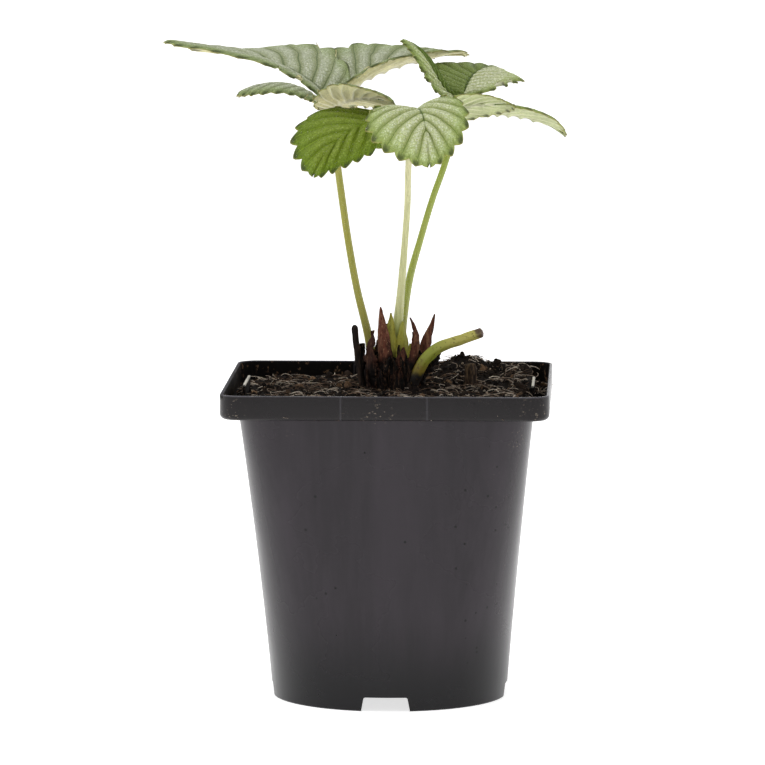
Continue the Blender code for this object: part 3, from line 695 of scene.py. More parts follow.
class Scatter(Tree):
    """A tree that scatters one small thing over a surface, each with its own size, turn and shade."""

    def __init__(self, name, seed):
        group = bpy.data.node_groups.new(name, "GeometryNodeTree")
        super().__init__(group)
        self.seed = seed
        for way in ("INPUT", "OUTPUT"):
            group.interface.new_socket("Geometry", in_out=way, socket_type="NodeSocketGeometry")
        for label in ("Density", "Size"):
            group.interface.new_socket(label, in_out="INPUT", socket_type="NodeSocketFloat")
        given = self.add("NodeGroupInput").outputs
        self.surface, self.density, self.size = (Wire(self, given[i]) for i in range(3))

    def place(self, stretch=EVEN):
        return self.out("GeometryNodeInputPosition")

    def random(self, low, high, step):
        """A random number for each thing, or a vector where low is one."""
        kind, first = ("FLOAT_VECTOR", 0) if isinstance(low, tuple) else ("FLOAT", 2)
        inputs = {first: low, first + 1: high, "Seed": self.seed + step}
        return self.out("FunctionNodeRandomValue", inputs, first // 2, data_type=kind)

    def vary(self, sizes, stretches, turns):
        """Random turn and scale."""
        size = self.size * self.random(*sizes, 1)
        return self.random(*turns, 3), self.vector("SCALE", self.random(*stretches, 2), size)

    def points(self, density):
        inputs = {"Mesh": self.surface, "Density": density, "Seed": self.seed}
        return self.add("GeometryNodeDistributePointsOnFaces", inputs)

    def finish(self, points, thing, turn, scale, look):
        """Puts the thing at every point, and ends in a real mesh with its material."""
        points = Wire(self, points.outputs["Points"])
        inputs = {"Points": points, "Instance": thing, "Rotation": turn, "Scale": scale}
        things = self.out("GeometryNodeInstanceOnPoints", inputs)
        inputs = {"Geometry": things, "Name": "shade", "Value": self.random(0.0, 1.0, 9)}
        things = self.out("GeometryNodeStoreNamedAttribute", inputs, data_type="FLOAT", domain="INSTANCE")
        real = self.out("GeometryNodeRealizeInstances", {"Geometry": things})
        real = self.out("GeometryNodeSetMaterial", {"Geometry": real, "Material": look})
        self.add("NodeGroupOutput", {0: real})
        return self.nodes


def run_tree(name, base, tree, density, size):
    """The plain mesh that the tree makes from base's mesh."""
    holder = new_object(name, base.data.copy())
    modifier = holder.modifiers.new("scatter", "NODES")
    modifier.node_group = tree
    values = {"Density": density, "Size": size}
    for item in tree.interface.items_tree:
        if item.in_out == "INPUT" and item.name in values:
            modifier[item.identifier] = values[item.name]
    apply_modifiers(holder)
    return holder


# Pot


def rounded_square(half, corner, z):
    corner = min(corner, half - FLAT_LEFT)
    start, lift = half - corner, Vector((0, 0, z))
    points = []
    for quarter in range(4):
        turn = Matrix.Rotation(quarter * math.pi / 2, 3, "Z")
        for angle in arc_steps(CORNER_STEPS):
            points.append(turn @ (Vector((start, start, 0)) + around(angle) * corner) + lift)
        for step in range(1, SIDE_STEPS):
            points.append(turn @ Vector((start - 2 * start * step / SIDE_STEPS, half, 0)) + lift)
    return points


def ledge_height():
    return settings().pot.rim_height - BAND_HEIGHT


def body_half(z):
    share = unit(z / ledge_height())
    straight = BODY_FOOT_WIDTH + (BODY_TOP_WIDTH - BODY_FOOT_WIDTH) * share
    return straight / 2 - TAPER_BEND * share * (1 - share)


def body_ring(z, inset=0.0):
    """Ring of the pot's body, which runs from a round foot to a rounded square."""
    share = unit(z / ledge_height())
    corner = body_half(z) * (1 - share) + BODY_TOP_CORNER * share
    return rounded_square(body_half(z) - inset, corner - inset, z)


def arc_offsets(count):
    """How far the points of a quarter circle of radius one lie from the two lines that it joins."""
    return [(1 - math.cos(angle), 1 - math.sin(angle)) for angle in arc_steps(count)]


def pot_rings():
    """Rings up the outside from the pad under the floor, over the rim and down the inside."""
    pot = settings().pot
    ledge, rim, top, edge = ledge_height(), pot.rim_width / 2, pot.rim_height, pot.edge_round
    under_floor = FLOOR_HEIGHT - FLOOR_THICK

    def square(half, z):
        return rounded_square(half, max(RIM_CORNER - rim + half, FLAT_LEFT), z)

    heights = [ledge * i / WALL_RINGS for i in range(WALL_RINGS + 1)]
    rings = [rounded_square(CENTRE_PAD_RADIUS, CENTRE_PAD_RADIUS, z) for z in (0, under_floor)]
    rings += [body_ring(under_floor, WALL), body_ring(0, WALL), body_ring(0, edge), body_ring(edge)]
    rings += [body_ring(z) for z in heights[1:]]
    rings += [square(rim - BAND_FILLET * b, ledge + BAND_FILLET * a) for a, b in arc_offsets(FILLET_STEPS)]
    rings += [square(rim - edge * a, top - edge * b) for a, b in arc_offsets(EDGE_STEPS)]
    rings += [square(rim - WALL + edge * b, top - edge * a) for a, b in arc_offsets(EDGE_STEPS)]
    rings += [square(rim - WALL, ledge + WALL + edge), square(rim - WALL - edge, ledge + WALL)]
    rings.append(rounded_square(body_half(ledge) - WALL, BODY_TOP_CORNER - WALL, ledge + WALL))
    rings += [body_ring(z, WALL) for z in reversed(heights[3:])]
    rings.append(body_ring(FLOOR_HEIGHT, WALL))
    return rings


def prism(name, outline, depths, side):
    """A closed block with its outline seen from the front, turned to one side of the pot."""
    count = len(outline)
    points = [(x, y, z) for y in depths for x, z in outline]
    faces = [tuple(range(count)), tuple(range(count, 2 * count))] + grid_faces(1, count, closed=True)
    made = mesh_object(name, points, faces)
    face_outward(made)
    made.data.transform(Matrix.Rotation(side * math.pi / 2, 4, "Z"))
    return made


def pocket_wall(side):
    """The label pocket's wall inside the band."""
    ledge, half = ledge_height(), POCKET_LENGTH / 2
    low, high = ledge + WALL / 2, ledge + WALL + POCKET_WALL_HEIGHT
    depths = (body_half(ledge) - WALL + POCKET_SINK, body_half(ledge) - POCKET_SINK)
    made = prism("pocket", [(-half, low), (half, low), (half, high), (-half, high)], depths, side)
    bevel = made.modifiers.new("bevel", "BEVEL")
    bevel.width = POCKET_EDGE
    bevel.segments = 2
    apply_modifiers(made)
    return made


def foot_notch(side):
    half, top, radius = NOTCH_WIDTH / 2, NOTCH_TOP_WIDTH / 2 - NOTCH_ROUND, NOTCH_ROUND
    flank = [(half, -1 * MM), (half, 0)]
    for angle in arc_steps(EDGE_STEPS):
        flank.append((top + radius * math.cos(angle), NOTCH_HEIGHT - radius + radius * math.sin(angle)))
    return prism("notch", flank + [(-x, z) for x, z in reversed(flank)], NOTCH_DEPTHS, side)


def drain_hole(side):
    centre = around(math.pi / 4 + side * math.pi / 2) * DRAIN_FROM_AXIS
    ends = [centre + Vector((0, 0, z)) for z in DRAIN_HEIGHTS]
    rings = [[end + around(angle) * DRAIN_RADIUS for angle in circle(DRAIN_SIDES)] for end in ends]
    return lofted("drain", rings, *ends)


def near(look, centre, reach):
    """One close to centre, falling to nothing at reach, both in millimetres."""
    away = look.vector("DISTANCE", look.place(), tuple(c * MM for c in centre), "Value")
    return look.ramp(away, reach * MM, 0.4 * reach * MM)


def inner_face(look, x, y, z, on_band):
    """Mask of the band's inner face, and of the lip that closes it at the left."""
    half, top = settings().pot.rim_width / 2, settings().pot.rim_height
    beyond = [look.math("MAXIMUM", abs(axis) - (half - RIM_CORNER), 0.0) for axis in (x, y)]
    across, along = (look.math("POWER", distance, 2.0) for distance in beyond)
    from_core = look.math("SQRT", across + along)
    face = look.ramp(from_core, RIM_CORNER - 0.7 * WALL, RIM_CORNER - 0.9 * WALL) * on_band
    lip = look.ramp(x, WALL - half, 1.5 * WALL - half, 0.9, 0.0) * look.ramp(z, top - 2 * MM, top - 0.6 * MM)
    return look.math("MAXIMUM", face, lip)


def pocket_highlight(look, x, y, z):
    """Mask of the painted highlight on top of the left and right label pockets."""
    ledge, half = ledge_height(), POCKET_LENGTH / 2
    top = ledge + WALL + POCKET_WALL_HEIGHT
    ends = look.ramp(abs(y), half + 0.5 * MM, half - 1 * MM)
    mask = look.ramp(abs(abs(x) - (body_half(ledge) - WALL / 2)), 1.0 * MM, 0.7 * MM)
    return mask * look.ramp(z, top - 0.7 * MM, top - 0.3 * MM) * ends


def black_specks(look, x, z):
    """Mask of small black specks on the pot's wall, thicker at its right side and low down."""
    spots = look.place(), 300.0
    chosen = look.out("ShaderNodeSeparateColor", {0: look.cells(*spots, "Color")})
    share = look.ramp(x, *SPECKS_RIGHT, 0.0, 0.5) + look.ramp(z, 50 * MM, 0.0, 0.04, 0.12)
    return look.math("LESS_THAN", chosen, share) * look.ramp(look.cells(*spots), 0.17, 0.11)


def pot_material():
    pot = settings().pot
    look = Look("pot_plastic")
    ledge, top = ledge_height(), pot.rim_height
    x, y, z = look.axes()
    cloud, grain = look.noise(28.0, 4.0), look.noise(2600.0, 2.0)
    streak = look.noise(330.0, 3.0, 0.6, stretch=(1, 1, 0.06))
    broad = look.noise(70.0, 2.0, stretch=(1, 1, 0.12))
    on_band = look.ramp(z, ledge - 0.4 * MM, ledge + 0.6 * MM)
    inside = inner_face(look, x, y, z, on_band)
    clinging = look.ramp(look.noise(620.0, 4.0, 0.6, stretch=(1, 1, 0.7)), 0.58, 0.66, 0.0, 0.8)
    # Top edge of the rim, which gets a painted highlight
    lip = look.ramp(z, top - 0.55 * MM, top - 0.1 * MM)
    specks = look.ramp(look.noise(1300.0, 4.0, 0.6, stretch=(0.6, 1, 1.3)), 0.61, 0.68)
    patches = look.ramp(look.noise(60.0), 0.60, 0.72, 0.0, 0.35)
    for centre, reach in DIRT_PATCHES:
        patches = look.math("MAXIMUM", patches, near(look, centre, reach))
    dusty = look.ramp(z, DUST_FROM, ledge, 0.15, 1.0) * 0.7
    lines = [look.ramp(abs(x - place * MM), 0.5 * MM, 0.1 * MM) * on_band for place in BAND_LINES]
    colour = look.coats(
        shade(pot.colour, 0.80),
        (look.ramp(streak, 0.35, 0.7), shade(pot.colour)),
        (look.ramp(broad, 0.4, 0.75, 0, 0.5), shade(pot.colour, 1.5)),
        (on_band * 0.9, "#110D0E"),
        (inside * 0.85, "#0D0A09"),
        (inside * clinging, "#6B5442"),
        # Painted highlight, pale grey, along the rim's top edge
        (lip * look.ramp(cloud, 0.3, 0.6, 0.3, 0.8), "#55535A"),
        # Painted highlight, pale grey, along the top of the label pockets
        (pocket_highlight(look, x, y, z) * look.ramp(cloud, 0.3, 0.5, 0.5, 1.0), "#D6D2CA"),
        # Painted shade: the wall darker towards its foot
        (look.ramp(z, *FOOT_SHADE, 0.90, 0.0), "#09090B"),
        *((line * 0.22, "#5A585E") for line in lines),
        (specks * patches * dusty, shade(pot.dust)),
        (black_specks(look, x, z) * 0.9, "#040404"),
    )
    rough = inside * 0.4 + look.ramp(cloud, 0.3, 0.7, 0.23, 0.31)
    return look.finish(colour, rough, inside * -0.18 + 0.25, (grain * 0.35 + streak * 0.65, 0.04 * MM, 0.5))


class MakePot(bpy.types.Operator):
    """Builds the square-rimmed nursery pot"""

    bl_idname = "strawberry.make_pot"
    bl_label = "Make pot"

    def execute(self, context):
        pot = lofted("nursery_pot", pot_rings(), Vector(), Vector((0, 0, FLOOR_HEIGHT)), pot_material())
        sides = range(4)
        boolean(pot, [pocket_wall(side) for side in sides], "UNION")
        boolean(pot, [cut(side) for cut in (foot_notch, drain_hole) for side in sides], "DIFFERENCE")
        smooth(pot, 35)
        finish_piece(pot, "pot", ["pot"])
        return {"FINISHED"}


# Soil


def soil_height(x, y):
    half = BODY_TOP_WIDTH / 2
    rise = SOIL_RISE * (0.5 + 0.5 * math.sin(1.5 * x / half)) * (0.75 + 0.25 * y / half)
    lumps = math.sin(410 * x + 1.3) * math.cos(365 * y + 0.4) + 0.6 * math.sin(760 * x + 590 * y)
    away = math.hypot(x - MOUND_PLACE[0], y - MOUND_PLACE[1]) / MOUND_RADIUS
    near_crown = math.hypot(x - CROWN_CENTRE[0], y - CROWN_CENTRE[1]) / (2 * CROWN_RADIUS)
    mound = MOUND_HEIGHT * math.exp(-away * away) + CROWN_MOUND * math.exp(-near_crown * near_crown)
    return SOIL_LEVEL + rise + SOIL_LUMP * lumps + mound


def rough_height(x, y):
    here = Vector((x, y, 0))
    coarse = noise.fractal(here * 260, 0.9, 2.1, 4)
    fine = noise.fractal(here * 900 + Vector((7, 3, 1)), 0.8, 2.2, 3)
    bank = unit(x / BANK_FROM[0]) * unit(y / BANK_FROM[1])
    return soil_height(x, y) + BANK_HEIGHT * bank + settings().soil.relief * (0.75 * coarse + 0.3 * fine)


def soil_body():
    bottom = FLOOR_HEIGHT + SOIL_GAP
    rise = (ledge_height() - bottom) / SOIL_SIDE_RINGS
    rings = [body_ring(bottom + rise * i, WALL + SOIL_GAP) for i in range(SOIL_SIDE_RINGS + 1)]
    edge = rings[-1]
    for step in range(SOIL_TOP_RINGS):
        share = 1 - step / SOIL_TOP_RINGS
        places = [(p.x * share, p.y * share) for p in edge]
        rings.append([Vector((x, y, rough_height(x, y))) for x, y in places])
    middle = Vector((0, 0, rough_height(0, 0)))
    made = lofted("peat", rings, Vector((0, 0, bottom)), middle, soil_material())
    smooth(made, 60)
    return made


def soil_material():
    dark = settings().soil.dark
    look = Look("peat")
    broad, fine = look.noise(160.0, 5.0, 0.65), look.noise(900.0, 5.0, 0.7)
    fibres = look.noise(1500.0, 2.0, 0.5, (1, 0.22, 0.22), 1.2)
    colour = look.coats(
        shade(dark, 0.55),
        (look.ramp(broad, 0.35, 0.65), shade(dark)),
        (look.ramp(fine, 0.5, 0.75, 0, 0.7), "#33261F"),
        (look.ramp(fibres, 0.66, 0.74, 0, 0.6), "#85705A"),
    )
    return look.finish(colour, look.ramp(broad, 0.3, 0.7, 0.75, 0.95), 0.12, (fine, 0.5 * MM, 0.8))


def crumb_material(name, dark, middle, pale, pale_from):
    """Crumbs or fibres, each of its own shade."""
    look = Look(name)
    tone, grain = look.attribute("shade"), look.noise(1800.0, 3.0, 0.6)
    colour = look.coats(
        dark,
        (look.ramp(tone, 0.0, pale_from), middle),
        (look.ramp(tone, pale_from, 1.0), pale),
        (look.ramp(grain, 0.35, 0.7, 0, 0.55), dark),
    )
    return look.finish(colour, 0.88, 0.12, (grain, 0.2 * MM, 0.7))


def crumb_tree(name, look, seed, detail):
    """Scatters rough crumbs over a surface."""
    make = Scatter(name, seed)
    ball = make.out("GeometryNodeMeshIcoSphere", {"Radius": 1.0, "Subdivisions": detail})
    shift = make.vector("SUBTRACT", make.noise(1.3, 2.0, 0.5, key="Color"), (0.5, 0.5, 0.5))
    ball = make.out("GeometryNodeSetPosition", {"Geometry": ball, "Offset": make.vector("SCALE", shift, 1.5)})
    turns = (0, 0, 0), (FULL_TURN, FULL_TURN, FULL_TURN)
    turn, scale = make.vary((0.35, 1.5), ((0.7, 0.6, 0.45), (1.4, 1.1, 0.9)), turns)
    return make.finish(make.points(make.density), ball, turn, scale, look)


def fibre_tree(name, look, seed):
    """Scatters bent fibres that lie about flat, thick in some places and thin in others."""
    make = Scatter(name, seed)
    density = make.density * make.ramp(make.noise(130.0), 0.40, 0.62, 0.25, 1.6)
    knots = {"Resolution": 5, "Start": (-0.5, 0, 0), "Middle": (0, 0.36, 0.18), "End": (0.5, 0, 0)}
    bow = make.out("GeometryNodeCurveQuadraticBezier", knots)
    ring = make.out("GeometryNodeCurvePrimitiveCircle", {"Resolution": 4, "Radius": 0.012})
    strand = make.out("GeometryNodeCurveToMesh", {"Curve": bow, "Profile Curve": ring, "Fill Caps": True})
    turns = (-FIBRE_LEAN, -FIBRE_LEAN, 0), (FIBRE_LEAN, FIBRE_LEAN, FULL_TURN)
    turn, scale = make.vary((0.25, 2.1), ((0.7, 0.2, 0.4), (1.2, 2.2, 1.8)), turns)
    return make.finish(make.points(density), strand, turn, scale, look)


def scatter_bed():
    """The soil's upper face and the pot's ledge round it, to scatter on."""
    peat_half = body_half(ledge_height()) - PEAT_INSET
    half = settings().pot.rim_width / 2 - BED_INSET
    on_ledge = ledge_height() + WALL + STEP_LIFT
    places = [half * (2 * i / BED_SQUARES - 1) for i in range(BED_SQUARES + 1)]
    points = []
    for x in places:
        for y in places:
            past = unit((max(abs(x), abs(y)) - peat_half) / STEP_WIDTH)
            points.append((x, y, rough_height(x, y) * (1 - past) + on_ledge * past))
    faces = [
        (a, d, c, b)
        for a, b, c, d in grid_faces(BED_SQUARES, BED_SQUARES + 1)
        if abs(points[a][0]) + abs(points[a][1]) < BED_CORNER * half
    ]
    return mesh_object("bed", points, faces)


class MakeSoil(bpy.types.Operator):
    """Builds the peat with its crumbs, lumps and fibres"""

    bl_idname = "strawberry.make_soil"
    bl_label = "Make soil"

    def execute(self, context):
        soil = settings().soil
        finish_piece(soil_body(), "soil", ["soil"])
        bed = scatter_bed()
        dark, brown = shade(soil.dark, 0.5), "#2C221C"
        crumbs = crumb_tree("crumbs", crumb_material("crumb", dark, brown, "#D2BCA6", 0.88), CRUMB_SEED, 1)
        lumps = crumb_tree("lumps", crumb_material("lump", dark, brown, "#8A6E56", 0.86), LUMP_SEED, 2)
        fibre_look = crumb_material("fibre", brown, "#826B5A", shade(soil.pale), 0.4)
        fibres = fibre_tree("fibres", fibre_look, FIBRE_SEED)
        for name, tree, density, size in (
            ("peat_crumbs", crumbs, soil.crumb_density, soil.crumb_size),
            ("peat_lumps", lumps, soil.lump_density, soil.lump_size),
            ("peat_fibres", fibres, soil.fibre_density, soil.fibre_length),
        ):
            finish_piece(run_tree(name, bed, tree, density, size), "soil")
        bpy.data.objects.remove(bed, do_unlink=True)
        return {"FINISHED"}


# Stalks


def catmull_rom(a, b, c, d, t):
    square, cube = (2 * a - 5 * b + 4 * c - d) * t * t, (3 * b - a - 3 * c + d) * t ** 3
    return 0.5 * (2 * b + (c - a) * t + square + cube)


def smooth_path(knots):
    """Points and radii of a smooth curve through the knots."""
    places = [Vector(p) * MM for p, _ in knots]
    radii = [r * MM for _, r in knots]
    path = []
    for i in range(len(places) - 1):
        before = places[i - 1] if i else places[0] * 2 - places[1]
        after = places[i + 2] if i + 2 < len(places) else places[i + 1] * 2 - places[i]
        for step in range(STALK_RINGS + (i == len(places) - 2)):
            t = step / STALK_RINGS
            point = catmull_rom(before, places[i], places[i + 1], after, t)
            path.append((point, radii[i] + (radii[i + 1] - radii[i]) * t))
    return path


def stalk(name, knots, look, ribs=0.05, rough=0.02, groove=0.0, round_end=0.0):
    """A ribbed stalk through the knots, with its share of the way along as an attribute."""
    path = smooth_path(knots)
    last = len(path) - 1
    rings, shares = [], []
    for i, (point, radius) in enumerate(path):
        along = (path[min(i + 1, last)][0] - path[max(i - 1, 0)][0]).normalized()
        across = Vector((0, 1, 0)).cross(along).normalized()
        other = along.cross(across)
        share = i / last
        past = max(0.0, (share - 1 + round_end) / round_end) if round_end else 0.0
        end = math.sqrt(max(0.12, 1 - past ** 2))
        ring = []
        for a in circle(STALK_SIDES):
            grain = noise.noise(point * 400 + Vector((a, 0, 0)))
            wobble = 1 + ribs * math.sin(5 * a + 3 * share) + rough * grain
            wobble -= groove * math.exp(-((math.cos(a / 2 + math.pi / 4) / 0.25) ** 2))
            ring.append(point + (across * math.cos(a) + other * math.sin(a)) * radius * wobble * end)
        rings.append(ring)
        shares += [share] * STALK_SIDES
    made = lofted(name, rings, path[0][0], path[-1][0], look)
    made.data.shade_smooth()
    paint(made, "along", shares + [0.0, 1.0])
    return made


def stalk_material(name, colours):
    look = Look(name)
    along = look.attribute("along")
    streak = look.noise(2200.0, stretch=(1, 1, 0.05))
    dots = look.ramp(look.cells(look.place(), 700.0), 0.22, 0.12)
    dots = dots * look.ramp(look.noise(240.0, 2.0), 0.46, 0.60)
    colour = look.coats(
        colours[0],
        (look.ramp(along, 0.15, 0.34), colours[1]),
        (look.ramp(along, 0.45, 0.98), colours[2]),
        (look.ramp(streak, 0.35, 0.75, 0, 0.35), "#6F7A2C"),
        (dots * 0.3, "#5B3A22"),
    )
    return look.finish(colour, 0.42, 0.4, (streak, 0.06 * MM, 0.5))


def cut_stalk_material():
    look = Look("cut_stalk")
    along = look.attribute("along") + (look.noise(260.0, 4.0, 0.6) - 0.5) * 0.16
    colour = look.coats(
        "#120D0A",
        (look.ramp(along, 0.22, 0.30), "#8A7A2C"),
        (look.ramp(along, 0.3, 0.45), "#9BA33A"),
        (look.ramp(along, 0.5, 0.8), "#BDB65E"),
        (look.ramp(along, 0.93, 0.975), "#5A4638"),
        (look.ramp(look.noise(1100.0), 0.58, 0.68, 0, 0.7), "#5E4A24"),
    )
    return look.finish(colour, 0.5, bump=(look.noise(1800.0), 0.08 * MM, 0.5))


def dead_material(name, dark, pale):
    look = Look(name)
    streak = look.noise(1100.0, 4.0, 0.65, (1, 1, 0.15))
    colour = look.mix(look.ramp(streak, 0.45, 0.75), dark, pale)
    return look.finish(colour, 0.8, 0.12, (streak, 0.3 * MM, 0.8))


class MakeStubs(bpy.types.Operator):
    """Builds the cut green stalk, the blackened stalk and the old stub"""

    bl_idname = "strawberry.make_stubs"
    bl_label = "Make stubs"

    def execute(self, context):
        black = dead_material("dead_tissue", "#1B1614", "#4A3A30")
        brown = dead_material("old_stub", "#2A201A", "#7A654E")
        for name, knots, look, ribs, rough, round_end, slot, node in (
            ("cut_petiole", CUT_STALK, cut_stalk_material(), 0.04, 0.08, 0.02, "cut_stalk", "cut_stalk"),
            ("blackened_petiole", DEAD_STALK, black, 0.09, 0.16, 0.05, "dead_stalk", "dead_stalk"),
            ("soil_stub", OLD_STUB, brown, 0.10, 0.2, 0.06, "dead_stalk", "old_stub"),
        ):
            finish_piece(stalk(name, knots, look, ribs, rough, round_end=round_end), slot, [node])
        return {"FINISHED"}


# Crown


def crown_core(look):
    """The ridged brown middle that the scales stand on."""
    rings = []
    for step in range(CORE_RINGS + 1):
        share = step / CORE_RINGS
        z = CROWN_BOTTOM + (CROWN_TOP - CROWN_BOTTOM) * share
        belly = 0.80 + 0.25 * math.sin(math.pi * (0.15 + 0.75 * share))
        ring = []
        for angle in circle(CORE_SIDES):
            ridge = 1 + 0.07 * math.sin(5 * angle + 4 * share) + 0.04 * math.sin(9 * angle - 7 * share)
            here = Vector((math.cos(angle) * 4.5, math.sin(angle) * 4.5, z * 90))
            r = CROWN_RADIUS * ridge * belly + 0.55 * MM * noise.fractal(here, 0.8, 2.2, 4)
            ring.append(Vector((*CROWN_CENTRE, z)) + around(angle) * r)
        rings.append(ring)
    for step in range(1, CORE_TOP_RINGS):
        share = 1 - step / CORE_TOP_RINGS
        ring = []
        for p in rings[CORE_RINGS]:
            x, y = (c + (q - c) * share for c, q in zip(CROWN_CENTRE, p))
            z = CROWN_TOP + 1.0 * MM * noise.fractal(Vector((x, y, 0)) * 500, 0.9, 2.1, 3)
            ring.append(Vector((x, y, z)))
        rings.append(ring)
    ends = [Vector((*CROWN_CENTRE, z)) for z in (CROWN_BOTTOM, CROWN_TOP)]
    made = lofted("crown_core", rings, *ends, look)
    made.data.shade_smooth()
    for key in ("tip", "red"):
        paint(made, key, np.zeros(len(made.data.vertices)))
    return made


def lancet(numbers, look, thick, rows=44, columns=14, seed=0, finish=(0.5, 0.12, 0.0)):
    """A pointed scale: a curved sheet with ragged edges, hollow towards the crown's middle."""
    foot, tip, bend, width, turn = numbers
    foot, tip, bend = Vector(foot) * MM, Vector(tip) * MM, Vector(bend) * MM
    red, torn, hook = finish
    middle = Vector((*CROWN_CENTRE, foot.z))
    out = Matrix.Rotation(math.radians(turn), 3, "Z") @ (foot - middle).normalized()
    side = out.cross(Vector((0, 0, 1))).normalized()
    phase = random.Random(seed).uniform(0, 50)
    points, tips = [], []
    for row in range(rows + 1):
        t = row / rows
        centre = foot.lerp(tip, t) + bend * math.sin(math.pi * t)
        centre = centre + side * hook * MM * max(0.0, t - HOOK_FROM) ** 2 * HOOK_BEND
        taper = math.sin(math.pi * (SCALE_FULLEST + (1 - SCALE_FULLEST) * t)) ** SCALE_ROUND
        half = max(width * MM / 2 * taper, SCALE_TIP)
        for column in range(columns + 1):
            across = 2 * column / columns - 1
            which = phase + (5 if across > 0 else 0)
            edge = 1 + torn * noise.fractal(Vector((which, t * 7, 0)), 0.7, 2.1, 3)
            streak = SCALE_STREAK * noise.noise(Vector((across * 6 + phase, t * 2.5, 2)))
            warp = (0.5 + 2.0 * torn) * MM * noise.noise(Vector((phase, t * 3, across)))
            back = -out * SCALE_HOLLOW * 2 * half * across * across
            points.append(centre + side * half * across * edge + back + out * (streak + warp * t))
            tips.append(t)
    made = mesh_object("scale", points, grid_faces(rows, columns + 1), look)
    paint(made, "tip", tips)
    paint(made, "red", [red] * len(points))
    solid = made.modifiers.new("wall", "SOLIDIFY")
    solid.thickness = thick
    solid.offset = 0
    apply_modifiers(made)
    face_outward(made)
    made.data.shade_smooth()
    return made


def scale_material(name, dark, brown, pale, rough=0.75):
    look = Look(name)
    streak = look.noise(1500.0, 4.0, 0.65, (1, 1, 0.07))
    band = look.noise(520.0, 3.0, 0.6, (1, 1, 0.12))
    fleck = look.noise(1900.0, 3.0, 0.6, (1, 1, 0.5))
    share = (look.noise(300.0, 4.0, 0.6) - 0.5) * 1.3 + look.ramp(look.attribute("tip"), 0.12, 0.62)
    share = look.ramp(share, 0.15, 0.8) * look.attribute("red")
    share = share * look.ramp(look.axes()[2], *DARK_SCALE_FOOT, 0.35, 1.0)
    colour = look.coats(
        dark,
        (share, brown),
        (look.ramp(band, 0.50, 0.36, 0, 0.65), dark),
        (look.ramp(band, 0.54, 0.68, 0, 0.5) * share, pale),
        (look.ramp(fleck, 0.55, 0.72, 0, 0.7) * share, pale),
        (look.ramp(fleck, 0.45, 0.30, 0, 0.6), dark),
        (look.ramp(streak, 0.52, 0.78, 0, 0.35), pale),
        (look.ramp(streak, 0.42, 0.25, 0, 0.75), dark),
    )
    return look.finish(colour, rough, 0.12, (streak, 0.2 * MM, 0.8))


def crown_base():
    """Foot of the crown's axis, in millimetres."""
    return Vector((*CROWN_CENTRE, 0)) / MM


def back_scales():
    """The scales round the crown's back, drawn as the CAD model draws them."""
    draw = random.Random(BACK_SEED)
    for i in range(BACK_SCALES):
        out = around(math.radians(-10 + 200 * i / (BACK_SCALES - 1)))
        foot = crown_base() + out * 8.4 + Vector((0, 0, 106 + draw.uniform(-2, 2)))
        tip = crown_base() + out * draw.uniform(6.5, 10) + Vector((0, 0, draw.uniform(118, 128)))
        yield foot, tip, out * 1.2, draw.uniform(4.5, 6.5), 0


def tatter(number, look, thick):
    """A small torn strip that clings to the crown."""
    draw = random.Random(TATTER_SEED + number)
    out = around(draw.uniform(0, 2 * math.pi))
    foot = crown_base() + out * draw.uniform(8.6, 9.8) + Vector((0, 0, draw.uniform(102, 109)))
    lean = Vector((draw.uniform(-2.4, 2.4), draw.uniform(-2, 2), draw.uniform(4, 13)))
    tip = foot + out * draw.uniform(-1.6, 1.2) + lean
    numbers = (foot, tip, out * 0.6, draw.uniform(0.8, 2.6), draw.uniform(-45, 45))
    finish = (draw.choice((0.0, 0.0, 0.06, 0.2, 0.4)), 0.8, draw.uniform(-1, 1))
    return lancet(numbers, look, thick, 22, 6, 100 + number, finish)


class MakeCrown(bpy.types.Operator):
    """Builds the crown with its dry scales and tatters, and the fresh green scale"""

    bl_idname = "strawberry.make_crown"
    bl_label = "Make crown"

    def execute(self, context):
        crown = settings().crown
        thick = crown.thickness
        look = scale_material("dry_scale", shade(crown.dark), shade(crown.brown), "#A67E60")
        pieces = [crown_core(look)]
        for i, (numbers, finish) in enumerate(zip(NAMED_SCALES, SCALE_FINISH)):
            pieces.append(lancet(numbers, look, thick, seed=i, finish=finish))
        for i, numbers in enumerate(back_scales()):
            pieces.append(lancet(numbers, look, thick, seed=20 + i, finish=(0.4, 0.5, 0.0)))
        pieces += [tatter(i, look, thick) for i in range(crown.tatters)]
        finish_piece(join_meshes("dry_crown", pieces), "crown", ["crown"])
        fresh = scale_material("fresh_scale", "#5E5A20", shade(crown.green), "#B0B45C", 0.45)
        sheaths = [lancet(BUD, fresh, 1.6 * thick, seed=3, finish=(1.0, 0.05, 0.0))]
        for i, numbers in enumerate(SHEATHS):
            sheaths.append(lancet(numbers, fresh, 1.4 * thick, seed=40 + i, finish=(1.0, 0.08, 0.0)))
        finish_piece(join_meshes("green_scales", sheaths), "bud_scale", ["bud_scale"])
        return {"FINISHED"}


# Leaves


def blade_edge(u):
    x = 0.5 - 0.5 * np.cos(np.pi * (EDGE_START + (1 - EDGE_START) * u))
    return x, np.sin(np.pi * x ** EDGE_LEAN) ** EDGE_FULL


